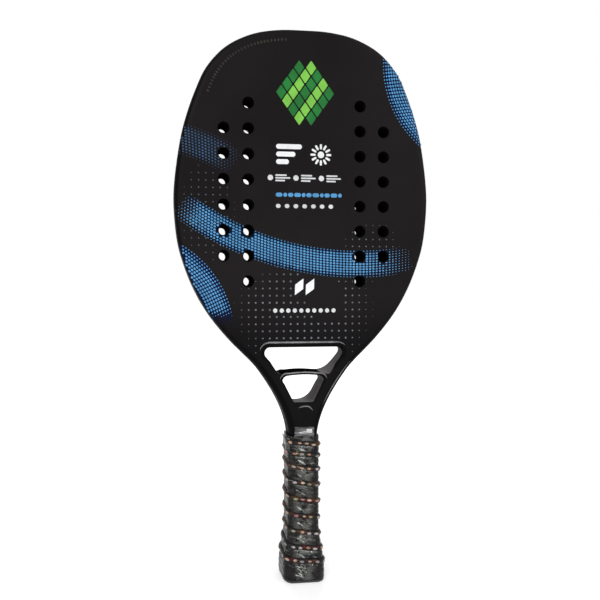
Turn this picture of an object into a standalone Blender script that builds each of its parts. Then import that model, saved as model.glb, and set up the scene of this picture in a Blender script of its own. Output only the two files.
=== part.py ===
"""Beach tennis racket, standing on its butt: +Z runs up to the head and the front face looks to -Y.

The origin is the middle of the flat end of the butt. Every length is in metres.
"""
import math

import bmesh
import bpy
import numpy as np

# Driving sizes
LENGTH = 0.500
DEPTH = 0.022
GAP = 0.0003
SKIN = 0.0009

# Half outline of the racket from the top of the head to the handle, as (half width, height)
OUTLINE = [
    (0.0, LENGTH), (0.0254, 0.4991), (0.0492, 0.4940), (0.0717, 0.4822), (0.0887, 0.4636),
    (0.0990, 0.4418), (0.1067, 0.4199), (0.1121, 0.3980), (0.1167, 0.3650), (0.1175, 0.3400),
    (0.1145, 0.3097), (0.1085, 0.2875), (0.0994, 0.2652), (0.0866, 0.2430), (0.0686, 0.2207),
    (0.0463, 0.1983), (0.0374, 0.1872), (0.0299, 0.1760), (0.0234, 0.1648), (0.0183, 0.1536),
    (0.0147, 0.1424), (0.0129, 0.1320), (0.0123, 0.1220), (0.0122, 0.1120),
]
CURVE_STEPS = 2
LEG_END = 0.0070

# Frame tube
TUBE_WIDTH = 0.0104
TUBE_DEPTH = DEPTH - 2 * (SKIN + GAP)
TUBE_WALL = 0.0014
TUBE_OUTER_RADIUS = 0.0044
TUBE_INNER_RADIUS = 0.0026
CORNER_STEPS = 2

# Holes in the head: four columns, the outer ones shorter
HOLE_RADIUS = 0.0050
HOLE_SIDES = 16
HOLE_PITCH = 0.0227
HOLE_TOP = 0.4315
INNER_COLUMN = 0.0516
OUTER_COLUMN = 0.0738
INNER_ROWS = 8
OUTER_ROWS = 6

# Throat opening: one trapezoid that the crossbar divides
OPENING_TOP = 0.2128
OPENING_TOP_HALF = 0.0392
OPENING_BOTTOM = 0.1630
OPENING_BOTTOM_HALF = 0.0101
OPENING_TOP_CORNER = 0.0048
OPENING_BOTTOM_CORNER = 0.0022
BRIDGE_TOP = 0.2240
BRIDGE_HORN_END = 0.2010
SKIN_EDGE = 0.0038
SKIN_THROAT_EDGE = 0.0016
SKIN_END = 0.1320

# Crossbar between the two openings
BAR_MIDDLE = 0.1894
BAR_HEIGHT = 0.0026
BAR_DEPTH = 0.0190
BAR_DROP = 0.0024
BAR_DROP_HALF = 0.0220
BAR_STEPS = 10
BAR_BEVEL = 0.0009

# Handle section at the surface of the tape: half width and half depth, straight part and flared butt
TAPE_HALF_WIDTH = 0.0142
TAPE_HALF_DEPTH = 0.0119
BUTT_HALF_WIDTH = 0.0188
BUTT_HALF_DEPTH = 0.0158
FLARE_TOP = 0.0520
FLARE_BOTTOM = 0.0080
SECTION_ROUNDING = 0.50
SECTION_CORNER_STEPS = 5
TAPE_TOP = 0.1312
TAPE_THICKNESS = 0.0009
FILM_THICKNESS = 0.0002
UNDERLAY_THICKNESS = 0.0005
UNDERLAY_TOP = 0.1180
FILLER_TOP = 0.1290

# Butt cap, plug and staples
CAP_TOP = 0.0340
CAP_BASE = 0.0030
CAP_EDGE = 0.0014
PLUG_RADIUS = 0.0070
PLUG_HEIGHT = 0.0032
PLUG_BEVEL = 0.0004
STAPLE_HEIGHT = 0.0270
STAPLE_HALF_WIDTH = 0.0048
STAPLE_LEG = 0.0012
STAPLE_WIRE = 0.0004
STAPLE_SUNK = 0.0003

# Rib wound over the film: turns are counted where the rib crosses the middle of the front
RIB_RADIUS = 0.0010
RIB_LIFT = 0.0006
RIB_POINTS = 24
RIB_FIRST = -0.25
RIB_LAST = 8.45
RIB_MIDDLE_TURN = 4.3
RIB_MIDDLE_HEIGHT = 0.0704
RIB_PITCH = 0.0151
RIB_CROWDING = 0.00783

# Clear tab that holds the film on the neck
TAB_HALF_WIDTH = 0.0082
TAB_BOTTOM = 0.1330
TAB_TOP = 0.1392
TAB_THICKNESS = 0.0003

PART_NAME = "beach_tennis_racket"


def clear_scene():
    for item in list(bpy.data.objects):
        bpy.data.objects.remove(item, do_unlink=True)


def make_collection(name):
    group = bpy.data.collections.new(name)
    bpy.context.scene.collection.children.link(group)
    return group


def make_material(name, colour, roughness, metallic=0.0):
    material = bpy.data.materials.new(name)
    material.use_nodes = True
    shader = material.node_tree.nodes["Principled BSDF"]
    shader.inputs["Base Color"].default_value = (*colour, 1.0)
    shader.inputs["Roughness"].default_value = roughness
    shader.inputs["Metallic"].default_value = metallic
    material.diffuse_color = (*colour, 1.0)
    return material


def shade(mesh, angle):
    """Round pieces are shaded smooth and keep the edges that are sharper than the angle."""
    mesh.shade_smooth()
    mesh.set_sharp_from_angle(angle=math.radians(angle))


def mesh_object(name, mesh, group, smooth_angle=35.0):
    item = bpy.data.objects.new(name, mesh)
    group.objects.link(item)
    shade(mesh, smooth_angle)
    return item


def clean(mesh, merge=0.00001):
    work = bmesh.new()
    work.from_mesh(mesh)
    bmesh.ops.remove_doubles(work, verts=work.verts, dist=merge)
    bmesh.ops.recalc_face_normals(work, faces=work.faces)
    work.to_mesh(mesh)
    work.free()


def curve_to_mesh(curve_object, name):
    """Mesh of a curve object with its placement baked in; the curve itself is removed."""
    graph = bpy.context.evaluated_depsgraph_get()
    mesh = bpy.data.meshes.new_from_object(curve_object.evaluated_get(graph))
    mesh.name = name
    mesh.transform(curve_object.matrix_world)
    bpy.data.objects.remove(curve_object, do_unlink=True)
    clean(mesh)
    return mesh


def add_bevel(item, width, segments=2, angle=30.0):
    bevel = item.modifiers.new("Bevel", "BEVEL")
    bevel.width = width
    bevel.segments = segments
    bevel.limit_method = "ANGLE"
    bevel.angle_limit = math.radians(angle)
    return bevel


def cut(item, cutter):
    boolean = item.modifiers.new("Cut", "BOOLEAN")
    boolean.operation = "DIFFERENCE"
    boolean.solver = "EXACT"
    boolean.object = cutter
    cutter.hide_render = True
    cutter.display_type = "WIRE"


def catmull_rom(points, steps):
    """Smooth line through the points, with the given number of steps between neighbours."""
    points = np.array(points)
    padded = np.vstack([2 * points[0] - points[1], points, 2 * points[-1] - points[-2]])
    line = []
    for i in range(1, len(padded) - 2):
        before, start, end, after = padded[i - 1:i + 3]
        for k in range(steps):
            t = k / steps
            line.append(0.5 * (2 * start + (end - before) * t
                               + (2 * before - 5 * start + 4 * end - after) * t ** 2
                               + (3 * start - before - 3 * end + after) * t ** 3))
    line.append(points[-1])
    return np.array(line)


def half_outline():
    """Half outline as a smooth line; a mirrored point before the first keeps the top level."""
    mirrored = [(-OUTLINE[1][0], OUTLINE[1][1])] + OUTLINE
    return catmull_rom(mirrored, CURVE_STEPS)[CURVE_STEPS:]


def inset(line, distance):
    """Line moved towards the middle of the racket, square to itself."""
    along = np.gradient(line, axis=0)
    along[0] = (1.0, 0.0)
    along /= np.linalg.norm(along, axis=1)[:, None]
    inward = np.column_stack([along[:, 1], -along[:, 0]])
    return line + inward * distance


def mirror_line(line):
    """Whole line from a half that starts on the middle: down the left side reversed, then the right."""
    left = line[:0:-1] * np.array([-1.0, 1.0])
    return np.vstack([left, line])


def line_between(line, low, high):
    """Points of a downward half line between two heights, with both ends worked out."""
    heights = line[:, 1]
    ends = [(np.interp(-level, -heights, line[:, 0]), level) for level in (high, low)]
    inner = line[(heights < high) & (heights > low)]
    return np.vstack([ends[0], inner, ends[1]])


def rounded_polygon(corners, radii, steps):
    """Closed outline with every corner replaced by an arc that touches both of its sides."""
    corners = np.array(corners)
    outline = []
    for i, corner in enumerate(corners):
        before = corners[i - 1] - corner
        after = corners[(i + 1) % len(corners)] - corner
        before /= np.linalg.norm(before)
        after /= np.linalg.norm(after)
        half = math.acos(np.clip(before @ after, -1.0, 1.0)) / 2
        middle = before + after
        middle /= np.linalg.norm(middle)
        centre = corner + middle * radii[i] / math.sin(half)
        start = corner + before * radii[i] / math.tan(half) - centre
        end = corner + after * radii[i] / math.tan(half) - centre
        first = math.atan2(start[1], start[0])
        turn = math.atan2(end[1], end[0]) - first
        turn = (turn + math.pi) % (2 * math.pi) - math.pi
        for k in range(steps + 1):
            angle = first + turn * k / steps
            outline.append(centre + radii[i] * np.array([math.cos(angle), math.sin(angle)]))
    return np.array(outline)


def opening_outline(grow, steps):
    """Throat opening, made larger by the given amount all round."""
    slope = (OPENING_TOP_HALF - OPENING_BOTTOM_HALF) / (OPENING_TOP - OPENING_BOTTOM)
    side = grow * math.hypot(1.0, slope)
    top_half = OPENING_TOP_HALF + side + slope * grow
    bottom_half = OPENING_BOTTOM_HALF + side - slope * grow
    corners = [
        (-top_half, OPENING_TOP + grow), (top_half, OPENING_TOP + grow),
        (bottom_half, OPENING_BOTTOM - grow), (-bottom_half, OPENING_BOTTOM - grow),
    ]
    top = OPENING_TOP_CORNER + grow
    bottom = OPENING_BOTTOM_CORNER + grow
    return rounded_polygon(corners, [top, top, bottom, bottom], steps)


def hole_centres():
    for column, rows, first in ((INNER_COLUMN, INNER_ROWS, 0), (OUTER_COLUMN, OUTER_ROWS, 1)):
        for row in range(first, first + rows):
            for side in (-1, 1):
                yield side * column, HOLE_TOP - row * HOLE_PITCH


def circle(x, z, radius, sides):
    angles = [2 * math.pi * k / sides for k in range(sides)]
    return np.array([(x + radius * math.cos(a), z + radius * math.sin(a)) for a in angles])


def plate(name, loops, front, back, group):
    """Flat plate drawn in the XZ plane from closed outlines, between two depths."""
    curve = bpy.data.curves.new(name, "CURVE")
    curve.dimensions = "2D"
    curve.fill_mode = "BOTH"
    curve.extrude = (back - front) / 2
    for loop in loops:
        spline = curve.splines.new("POLY")
        spline.points.add(len(loop) - 1)
        for point, (x, z) in zip(spline.points, loop):
            point.co = (x, z, 0.0, 1.0)
        spline.use_cyclic_u = True
    holder = bpy.data.objects.new(name + "_outline", curve)
    group.objects.link(holder)
    holder.rotation_euler = (math.radians(90), 0.0, 0.0)
    holder.location = (0.0, (front + back) / 2, 0.0)
    bpy.context.view_layer.update()
    return mesh_object(name, curve_to_mesh(holder, name), group)


def section(half_width, half_depth, extra=0.0):
    """Rounded rectangle of the handle in the XY plane; extra moves it outwards all round."""
    radius = SECTION_ROUNDING * half_depth + extra
    x = half_width + extra
    y = half_depth + extra
    corners = [(-x, -y), (x, -y), (x, y), (-x, y)]
    return rounded_polygon(corners, [radius] * 4, SECTION_CORNER_STEPS)


def tape_size(height):
    """Half width and half depth of the handle at the surface of the tape."""
    t = np.clip((FLARE_TOP - height) / (FLARE_TOP - FLARE_BOTTOM), 0.0, 1.0)
    flare = t * t * (3 - 2 * t)
    return (TAPE_HALF_WIDTH + (BUTT_HALF_WIDTH - TAPE_HALF_WIDTH) * flare,
            TAPE_HALF_DEPTH + (BUTT_HALF_DEPTH - TAPE_HALF_DEPTH) * flare)


def loft(name, rings, group, closed_ring=False):
    """Body through rings of equal length: capped at both ends, or joined last to first."""
    mesh = bpy.data.meshes.new(name)
    work = bmesh.new()
    loops = [[work.verts.new(tuple(point)) for point in ring] for ring in rings]
    pairs = list(zip(loops, loops[1:]))
    if closed_ring:
        pairs.append((loops[-1], loops[0]))
    else:
        work.faces.new(loops[0])
        work.faces.new(loops[-1])
    for lower, upper in pairs:
        for i in range(len(lower)):
            j = (i + 1) % len(lower)
            work.faces.new((lower[i], lower[j], upper[j], upper[i]))
    bmesh.ops.recalc_face_normals(work, faces=work.faces)
    work.to_mesh(mesh)
    work.free()
    return mesh_object(name, mesh, group)


def ring_at(height, extra):
    width, depth = tape_size(height)
    outline = section(width, depth, extra)
    return np.column_stack([outline, np.full(len(outline), height)])


def sleeve(name, heights, outer, inner, group):
    """Open tube round the handle between two offsets from the surface of the tape."""
    rings = [ring_at(z, outer) for z in heights]
    rings += [ring_at(z, inner) for z in reversed(heights)]
    return loft(name, rings, group, closed_ring=True)


def flared_heights(top, bottom):
    """Levels of a sleeve: one at each end and close ones over the flare."""
    flare = [z for z in np.linspace(FLARE_TOP, FLARE_BOTTOM, 8) if bottom < z < top]
    return [top] + flare + [bottom]


def swept_tube(name, path, profile, group):
    """Open tube swept along a flat path with a closed profile, in the XZ plane."""
    outline = bpy.data.curves.new(name + "_profile", "CURVE")
    outline.dimensions = "2D"
    spline = outline.splines.new("POLY")
    spline.points.add(len(profile) - 1)
    for point, (x, y) in zip(spline.points, profile):
        point.co = (x, y, 0.0, 1.0)
    spline.use_cyclic_u = True
    profile_object = bpy.data.objects.new(name + "_profile", outline)
    group.objects.link(profile_object)
    curve = bpy.data.curves.new(name, "CURVE")
    curve.dimensions = "2D"
    curve.fill_mode = "NONE"
    curve.bevel_mode = "OBJECT"
    curve.bevel_object = profile_object
    line = curve.splines.new("POLY")
    line.points.add(len(path) - 1)
    for point, (x, z) in zip(line.points, path):
        point.co = (x, z, 0.0, 1.0)
    holder = bpy.data.objects.new(name + "_path", curve)
    group.objects.link(holder)
    holder.rotation_euler = (math.radians(90), 0.0, 0.0)
    bpy.context.view_layer.update()
    item = mesh_object(name, curve_to_mesh(holder, name), group)
    bpy.data.objects.remove(profile_object, do_unlink=True)
    return item


def wire(name, path, radius, group):
    """Round wire along a path, with filled ends."""
    curve = bpy.data.curves.new(name, "CURVE")
    curve.dimensions = "3D"
    curve.bevel_depth = radius
    curve.bevel_resolution = 1
    curve.use_fill_caps = True
    spline = curve.splines.new("POLY")
    spline.points.add(len(path) - 1)
    for point, place in zip(spline.points, path):
        point.co = (*place, 1.0)
    holder = bpy.data.objects.new(name + "_path", curve)
    group.objects.link(holder)
    bpy.context.view_layer.update()
    return mesh_object(name, curve_to_mesh(holder, name), group, smooth_angle=70.0)


def cylinder(name, radius, low, high, sides, group):
    mesh = bpy.data.meshes.new(name)
    work = bmesh.new()
    bmesh.ops.create_cone(work, cap_ends=True, segments=sides, radius1=radius, radius2=radius,
                          depth=high - low)
    bmesh.ops.translate(work, verts=work.verts, vec=(0.0, 0.0, (low + high) / 2))
    work.to_mesh(mesh)
    work.free()
    return mesh_object(name, mesh, group)


def frame_tube(edge, group):
    """Hairpin tube: round the head, down both arms and into the handle; open at both leg ends."""
    path = inset(edge, TUBE_WIDTH / 2)
    path = np.vstack([path, (path[-1][0], LEG_END)])
    half = TUBE_WIDTH / 2
    side = TUBE_DEPTH / 2
    profile = rounded_polygon(
        [(-half, -side), (half, -side), (half, side), (-half, side)],
        [TUBE_OUTER_RADIUS, TUBE_INNER_RADIUS, TUBE_INNER_RADIUS, TUBE_OUTER_RADIUS],
        CORNER_STEPS,
    )
    tube = swept_tube("frame_tube", mirror_line(path), profile, group)
    wall = tube.modifiers.new("Wall", "SOLIDIFY")
    wall.thickness = TUBE_WALL
    wall.offset = -1.0
    return tube


def holes():
    return [circle(x, z, HOLE_RADIUS, HOLE_SIDES) for x, z in hole_centres()]


def core_foam(inner, group):
    side = line_between(inner, BRIDGE_TOP + GAP, inner[0][1] - 0.00001)
    side = np.vstack([(0.0, inner[0][1]), side[1:]])
    outline = mirror_line(side)
    return plate("core_foam", [outline] + holes(), -TUBE_DEPTH / 2, TUBE_DEPTH / 2, group)


def skin(name, edge, front, back, group):
    line = inset(edge, SKIN_EDGE)
    outline = mirror_line(line_between(line, SKIN_END, line[0][1] - 0.00001))
    opening = opening_outline(SKIN_THROAT_EDGE, CORNER_STEPS)
    return plate(name, [outline, opening] + holes(), front, back, group)


def throat_bridge(inner, group):
    """Cross member over the upper opening; its horns fill the corners down the arms."""
    side = line_between(inner, BRIDGE_HORN_END, BRIDGE_TOP)
    opening = opening_outline(0.0, CORNER_STEPS)
    right = opening[(opening[:, 0] > 0) & (opening[:, 1] > BRIDGE_HORN_END)]
    slope = (OPENING_TOP_HALF - OPENING_BOTTOM_HALF) / (OPENING_TOP - OPENING_BOTTOM)
    foot = OPENING_TOP_HALF - (OPENING_TOP - BRIDGE_HORN_END) * slope
    inside = np.vstack([(foot, BRIDGE_HORN_END), right[::-1]])
    half = np.vstack([side, inside])
    outline = np.vstack([half, half[::-1] * np.array([-1.0, 1.0])])
    bridge = plate("throat_bridge", [outline], -TUBE_DEPTH / 2, TUBE_DEPTH / 2, group)
    return bridge


def throat_gusset(inner, group):
    side = line_between(inner, FILLER_TOP + GAP, OPENING_BOTTOM)
    outline = np.vstack([side, side[::-1] * np.array([-1.0, 1.0])])
    return plate("throat_gusset", [outline], -TUBE_DEPTH / 2, TUBE_DEPTH / 2, group)


def throat_crossbar(inner, group):
    """Arched bar; its ends are cut along the arms."""
    def arch(x, offset):
        return BAR_MIDDLE + offset - BAR_DROP * (x / BAR_DROP_HALF) ** 2

    def reach(offset):
        half = BAR_DROP_HALF
        for _ in range(20):
            half = np.interp(-arch(half, offset), -inner[:, 1], inner[:, 0])
        return half

    top = reach(BAR_HEIGHT / 2)
    bottom = reach(-BAR_HEIGHT / 2)
    upper = [(x, arch(x, BAR_HEIGHT / 2)) for x in np.linspace(-top, top, BAR_STEPS + 1)]
    lower = [(x, arch(x, -BAR_HEIGHT / 2)) for x in np.linspace(bottom, -bottom, BAR_STEPS + 1)]
    bar = plate("throat_crossbar", [np.array(upper + lower)], -BAR_DEPTH / 2, BAR_DEPTH / 2, group)
    add_bevel(bar, BAR_BEVEL, segments=2, angle=50.0)
    return bar


def leg_filler(inner, group):
    half = inner[-1][0]
    outline = np.array([(-half, LEG_END), (half, LEG_END),
                        (half, FILLER_TOP), (-half, FILLER_TOP)])
    return plate("leg_filler", [outline], -TUBE_DEPTH / 2, TUBE_DEPTH / 2, group)


def box_ring(half_width, half_depth, radius, height):
    corners = [(-half_width, -half_depth), (half_width, -half_depth),
               (half_width, half_depth), (-half_width, half_depth)]
    outline = rounded_polygon(corners, [radius] * 4, CORNER_STEPS)
    return np.column_stack([outline, np.full(len(outline), height)])


def staple_path(side):
    """Wire path of a staple in the skirt of the cap, on the front (-1) or the back (1)."""
    depth = tape_size(STAPLE_HEIGHT)[1] - TAPE_THICKNESS - GAP - STAPLE_SUNK
    crown = side * depth
    root = side * (depth - STAPLE_LEG)
    return [(-STAPLE_HALF_WIDTH, root, STAPLE_HEIGHT), (-STAPLE_HALF_WIDTH, crown, STAPLE_HEIGHT),
            (STAPLE_HALF_WIDTH, crown, STAPLE_HEIGHT), (STAPLE_HALF_WIDTH, root, STAPLE_HEIGHT)]


def butt_cap(edge, group, cutters):
    """Flared cap: a base below the tape and a skirt under it, with a pocket for the legs."""
    under_tape = -TAPE_THICKNESS - GAP
    base = [ring_at(0.0, -CAP_EDGE), ring_at(CAP_EDGE, 0.0), ring_at(CAP_BASE, 0.0)]
    skirt = [ring_at(z, under_tape) for z in reversed(flared_heights(CAP_TOP, CAP_BASE))]
    cap = loft("butt_cap", base + skirt, group)
    leg_side = edge[-1][0] + GAP
    leg_face = TUBE_DEPTH / 2 + GAP
    pocket_rings = [box_ring(leg_side, leg_face, TUBE_INNER_RADIUS, z)
                    for z in (LEG_END - GAP, CAP_TOP + CAP_BASE)]
    cut(cap, loft("cutter_pocket", pocket_rings, cutters))
    cut(cap, cylinder("cutter_plug", PLUG_RADIUS + GAP, -CAP_BASE, PLUG_HEIGHT + GAP, 32, cutters))
    for side, label in ((-1, "front"), (1, "back")):
        groove = wire("cutter_staple_" + label, staple_path(side), STAPLE_WIRE + GAP, cutters)
        cut(cap, groove)
    return cap


def rib_path():
    """Centre line of the rib: a winding whose turns crowd towards both ends of the handle."""
    count = int(round((RIB_LAST - RIB_FIRST) * RIB_POINTS))
    line = []
    for k in range(count + 1):
        turn = RIB_FIRST + (RIB_LAST - RIB_FIRST) * k / count
        from_middle = turn - RIB_MIDDLE_TURN
        height = RIB_MIDDLE_HEIGHT - RIB_PITCH * (from_middle - RIB_CROWDING * from_middle ** 3)
        width, depth = tape_size(height)
        outline = section(width, depth, GAP + FILM_THICKNESS + RIB_LIFT + RIB_RADIUS)
        outline = np.vstack([outline, outline[0]])
        steps = np.linalg.norm(np.diff(outline, axis=0), axis=1)
        along = np.concatenate([[0.0], np.cumsum(steps)])
        front_middle = np.interp(0.0, outline[:len(outline) // 2, 0], along[:len(outline) // 2])
        place = (front_middle + turn * along[-1]) % along[-1]
        line.append((np.interp(place, along, outline[:, 0]),
                     np.interp(place, along, outline[:, 1]), height))
    return np.array(line)


def straight_ends(line, length):
    """Path with both ends drawn on straight for the given length."""
    first = line[0] + (line[0] - line[1]) / np.linalg.norm(line[0] - line[1]) * length
    last = line[-1] + (line[-1] - line[-2]) / np.linalg.norm(line[-1] - line[-2]) * length
    return np.vstack([first, line, last])


def least_gap(line, radius, per_turn):
    """Least free distance between the turns of a wound tube, measured on its points."""
    least = math.inf
    for i in range(len(line)):
        others = line[i + per_turn // 2:]
        if len(others):
            least = min(least, np.linalg.norm(others - line[i], axis=1).min())
    return least - 2 * radius


def main():
    clear_scene()
    group = make_collection(PART_NAME)
    cutters = make_collection("cutters")
    edge = half_outline()
    inner = inset(edge, TUBE_WIDTH + GAP)
    face = DEPTH / 2

    pieces = {}
    pieces["frame_tube"] = frame_tube(edge, group)
    pieces["core_foam"] = core_foam(inner, group)
    pieces["front_skin"] = skin("front_skin", edge, -face, -face + SKIN, group)
    pieces["back_skin"] = skin("back_skin", edge, face - SKIN, face, group)
    pieces["throat_bridge"] = throat_bridge(inner, group)
    pieces["throat_crossbar"] = throat_crossbar(inner, group)
    pieces["throat_gusset"] = throat_gusset(inner, group)
    pieces["leg_filler"] = leg_filler(inner, group)
    pieces["butt_cap"] = butt_cap(edge, group, cutters)
    plug = cylinder("butt_plug", PLUG_RADIUS, 0.0, PLUG_HEIGHT, 32, group)
    add_bevel(plug, PLUG_BEVEL, segments=1)
    pieces["butt_plug"] = plug
    for side, label in ((-1, "front"), (1, "back")):
        pieces["staple_" + label] = wire("staple_" + label, staple_path(side), STAPLE_WIRE, group)
    under_tape = -TAPE_THICKNESS - GAP
    pieces["grip_underlay"] = sleeve(
        "grip_underlay", flared_heights(UNDERLAY_TOP, CAP_TOP + GAP),
        under_tape, under_tape - UNDERLAY_THICKNESS, group)
    pieces["grip_tape"] = sleeve(
        "grip_tape", flared_heights(TAPE_TOP, CAP_BASE + GAP), 0.0, -TAPE_THICKNESS, group)
    pieces["grip_film"] = sleeve(
        "grip_film", flared_heights(TAPE_TOP, CAP_BASE + GAP), GAP + FILM_THICKNESS, GAP, group)
    winding = rib_path()
    print("least gap between turns of grip_rib, mm:",
          round(least_gap(winding, RIB_RADIUS, RIB_POINTS) * 1000, 2))
    pieces["grip_rib"] = wire("grip_rib", straight_ends(winding, 2 * RIB_RADIUS), RIB_RADIUS, group)
    tab_outline = np.array([(-TAB_HALF_WIDTH, TAB_BOTTOM), (TAB_HALF_WIDTH, TAB_BOTTOM),
                            (TAB_HALF_WIDTH, TAB_TOP), (-TAB_HALF_WIDTH, TAB_TOP)])
    tab_back = -face - GAP
    pieces["film_tab"] = plate("film_tab", [tab_outline], tab_back - TAB_THICKNESS, tab_back, group)

    finishes = {
        "frame_tube": ((0.012, 0.012, 0.014), 0.22, 0.0),
        "core_foam": ((0.030, 0.030, 0.034), 0.85, 0.0),
        "front_skin": ((0.018, 0.016, 0.018), 0.38, 0.0),
        "back_skin": ((0.018, 0.016, 0.018), 0.38, 0.0),
        "throat_bridge": ((0.012, 0.012, 0.014), 0.26, 0.0),
        "throat_crossbar": ((0.012, 0.012, 0.014), 0.24, 0.0),
        "throat_gusset": ((0.014, 0.013, 0.015), 0.30, 0.0),
        "leg_filler": ((0.420, 0.380, 0.280), 0.80, 0.0),
        "butt_cap": ((0.015, 0.015, 0.016), 0.42, 0.0),
        "butt_plug": ((0.020, 0.020, 0.022), 0.45, 0.0),
        "staple_front": ((0.560, 0.560, 0.570), 0.32, 1.0),
        "staple_back": ((0.560, 0.560, 0.570), 0.32, 1.0),
        "grip_underlay": ((0.060, 0.060, 0.065), 0.75, 0.0),
        "grip_tape": ((0.020, 0.020, 0.022), 0.55, 0.0),
        "grip_rib": ((0.028, 0.014, 0.012), 0.48, 0.0),
        "grip_film": ((0.550, 0.580, 0.580), 0.10, 0.0),
        "film_tab": ((0.450, 0.470, 0.480), 0.12, 0.0),
    }
    for name, (colour, roughness, metallic) in finishes.items():
        pieces[name].data.materials.clear()
        pieces[name].data.materials.append(make_material(name, colour, roughness, metallic))


main()
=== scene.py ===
"""Looks of the beach tennis racket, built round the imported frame.

The row frame: +Z up the handle, the front face looks to -Y, metres throughout.
"""

import random
from math import acos, atan2, cos, exp, hypot, pi, radians, sin, sqrt, tan

import bmesh
import bpy
import numpy as np
from mathutils import Matrix, Vector
from numpy.linalg import norm


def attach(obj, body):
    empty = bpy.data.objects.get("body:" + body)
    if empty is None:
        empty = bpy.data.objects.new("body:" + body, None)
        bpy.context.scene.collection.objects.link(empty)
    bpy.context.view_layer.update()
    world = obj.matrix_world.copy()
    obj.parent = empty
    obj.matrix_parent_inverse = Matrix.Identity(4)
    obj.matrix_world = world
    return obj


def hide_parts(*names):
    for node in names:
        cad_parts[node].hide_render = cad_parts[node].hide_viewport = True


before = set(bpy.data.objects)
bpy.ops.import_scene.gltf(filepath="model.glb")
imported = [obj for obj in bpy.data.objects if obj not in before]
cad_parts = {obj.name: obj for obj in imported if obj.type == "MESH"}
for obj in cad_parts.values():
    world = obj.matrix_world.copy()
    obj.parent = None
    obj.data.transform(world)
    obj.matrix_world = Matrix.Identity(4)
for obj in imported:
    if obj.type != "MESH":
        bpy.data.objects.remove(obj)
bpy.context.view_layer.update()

BODY = "root"

# Camera, matched to the photograph at 600 x 600. Its optical axis lies left of the racket: the
# holes and the throat show their right-hand walls, so the lens is shifted sideways by that much
CAMERA_PLACE = (-0.140, -0.491, 0.2625)
CAMERA_AZIMUTH = radians(6.0)
CAMERA_TILT = radians(0.775)
CAMERA_ROLL = radians(-0.089)
CAMERA_LENS = 32.656
CAMERA_SHIFT = 0.1566
SENSOR = 36.0

# Lamps: name, place, height of the target on the racket's axis, size, power
LAMPS = (
    ("key", (-0.9, -1.3, 1.5), 0.28, (0.9, 0.9), 13.0),
    ("fill", (1.3, -0.9, 0.9), 0.28, (0.8, 1.0), 6.0),
    ("low_strip", (0.12, -0.80, 0.035), 0.12, (0.55, 0.035), 0.9),
    ("grip_strip", (0.222, -0.78, 0.13), 0.08, (0.045, 0.24), 1.2),
    ("low_left", (-0.80, -0.45, 0.12), 0.05, (0.60, 0.24), 1.6),
    ("rear", (0.2, 1.3, 1.1), 0.28, (1.2, 0.8), 8.0),
)
# The two faces: sign of Y and the end of the pieces' names
SIDES = ((-1, "front"), (1, "back"))
WHITE = (1.0, 1.0, 1.0)
WORLD_LEVEL = 0.45
FLOOR_HALF = 12.0
# The floor's glow grows with the distance from the racket: (distance, glow)
GLOW_NEAR, GLOW_FAR = (0.15, 0.42), (1.2, 0.75)

# Sizes repeated from the part's source
HALF_DEPTH = 0.011
OUTLINE = [
    (0.0, 0.5000), (0.0254, 0.4991), (0.0492, 0.4940), (0.0717, 0.4822), (0.0887, 0.4636),
    (0.0990, 0.4418), (0.1067, 0.4199), (0.1121, 0.3980), (0.1167, 0.3650), (0.1175, 0.3400),
    (0.1145, 0.3097), (0.1085, 0.2875), (0.0994, 0.2652), (0.0866, 0.2430), (0.0686, 0.2207),
    (0.0463, 0.1983), (0.0374, 0.1872), (0.0299, 0.1760), (0.0234, 0.1648), (0.0183, 0.1536),
    (0.0147, 0.1424), (0.0129, 0.1320), (0.0123, 0.1250),
]
HOLE_RADIUS = 0.0050
HOLE_PITCH = 0.0227
HOLE_TOP = 0.4315
COLUMNS = ((0.0516, 8, 0), (0.0738, 6, 1))
OPENING_TOP = 0.2128
OPENING_TOP_HALF = 0.0392
OPENING_BOTTOM = 0.1630
BAR_MIDDLE = 0.1894
BAR_HEIGHT = 0.0026
BAR_DROP = 0.0024
BAR_DROP_HALF = 0.0220
TAPE_HALF_WIDTH = 0.0142
TAPE_HALF_DEPTH = 0.0119
BUTT_HALF_WIDTH = 0.0188
BUTT_HALF_DEPTH = 0.0158
FLARE_TOP = 0.0520
FLARE_BOTTOM = 0.0080
SECTION_ROUNDING = 0.50
TAPE_TOP = 0.1312
RIB_MIDDLE_TURN = 4.3
RIB_MIDDLE_HEIGHT = 0.0704
RIB_PITCH = 0.0151
RIB_CROWDING = 0.00783
RIB_FIRST = -0.25
RIB_LAST = 8.45

# Sizes of the rounded edges, the throat and the holes that only the looks have
EDGE_REACH_HEAD = 0.0078
EDGE_REACH_ARM = 0.0060
EDGE_DROP = 0.0062
EDGE_POWER = 2.3
EDGE_STEPS = 9
EDGE_PAINTED = 6
OUTLINE_STEPS = 7
THROAT_DROP = 0.0034
THROAT_STEPS = 6
WALL_STEPS = 8
BAR_TOP = BAR_MIDDLE + BAR_HEIGHT / 2
BAR_BOTTOM = BAR_MIDDLE - BAR_HEIGHT / 2
ARCH_FADE = 0.010
LOOP_STEP = 0.0013
BAR_BAND = 0.0022
# Ends of the painted shade on the bar's level faces
BAR_SHADE_LEFT, BAR_SHADE_RIGHT = -0.0300, 0.0172
BEAD_FADE = 7
HOLE_SIDES = 40
HOLE_CHAMFER = 0.00045
HOLE_SWELL = 0.0012
# Levels of a hole's lip: growth of its radius, depth below the face
HOLE_LIP = ((HOLE_CHAMFER, 0.0), (HOLE_CHAMFER * 0.5, 0.00007), (HOLE_CHAMFER * 0.13, 0.00024),
            (0.0, HOLE_CHAMFER))
# Levels between the lips: share of the depth from front to back, share of the foam's swell
HOLE_WAIST = ((0.06, 0.6), (0.12, 0.85), (0.5, 1.0), (0.88, 0.85), (0.94, 0.6))

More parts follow.
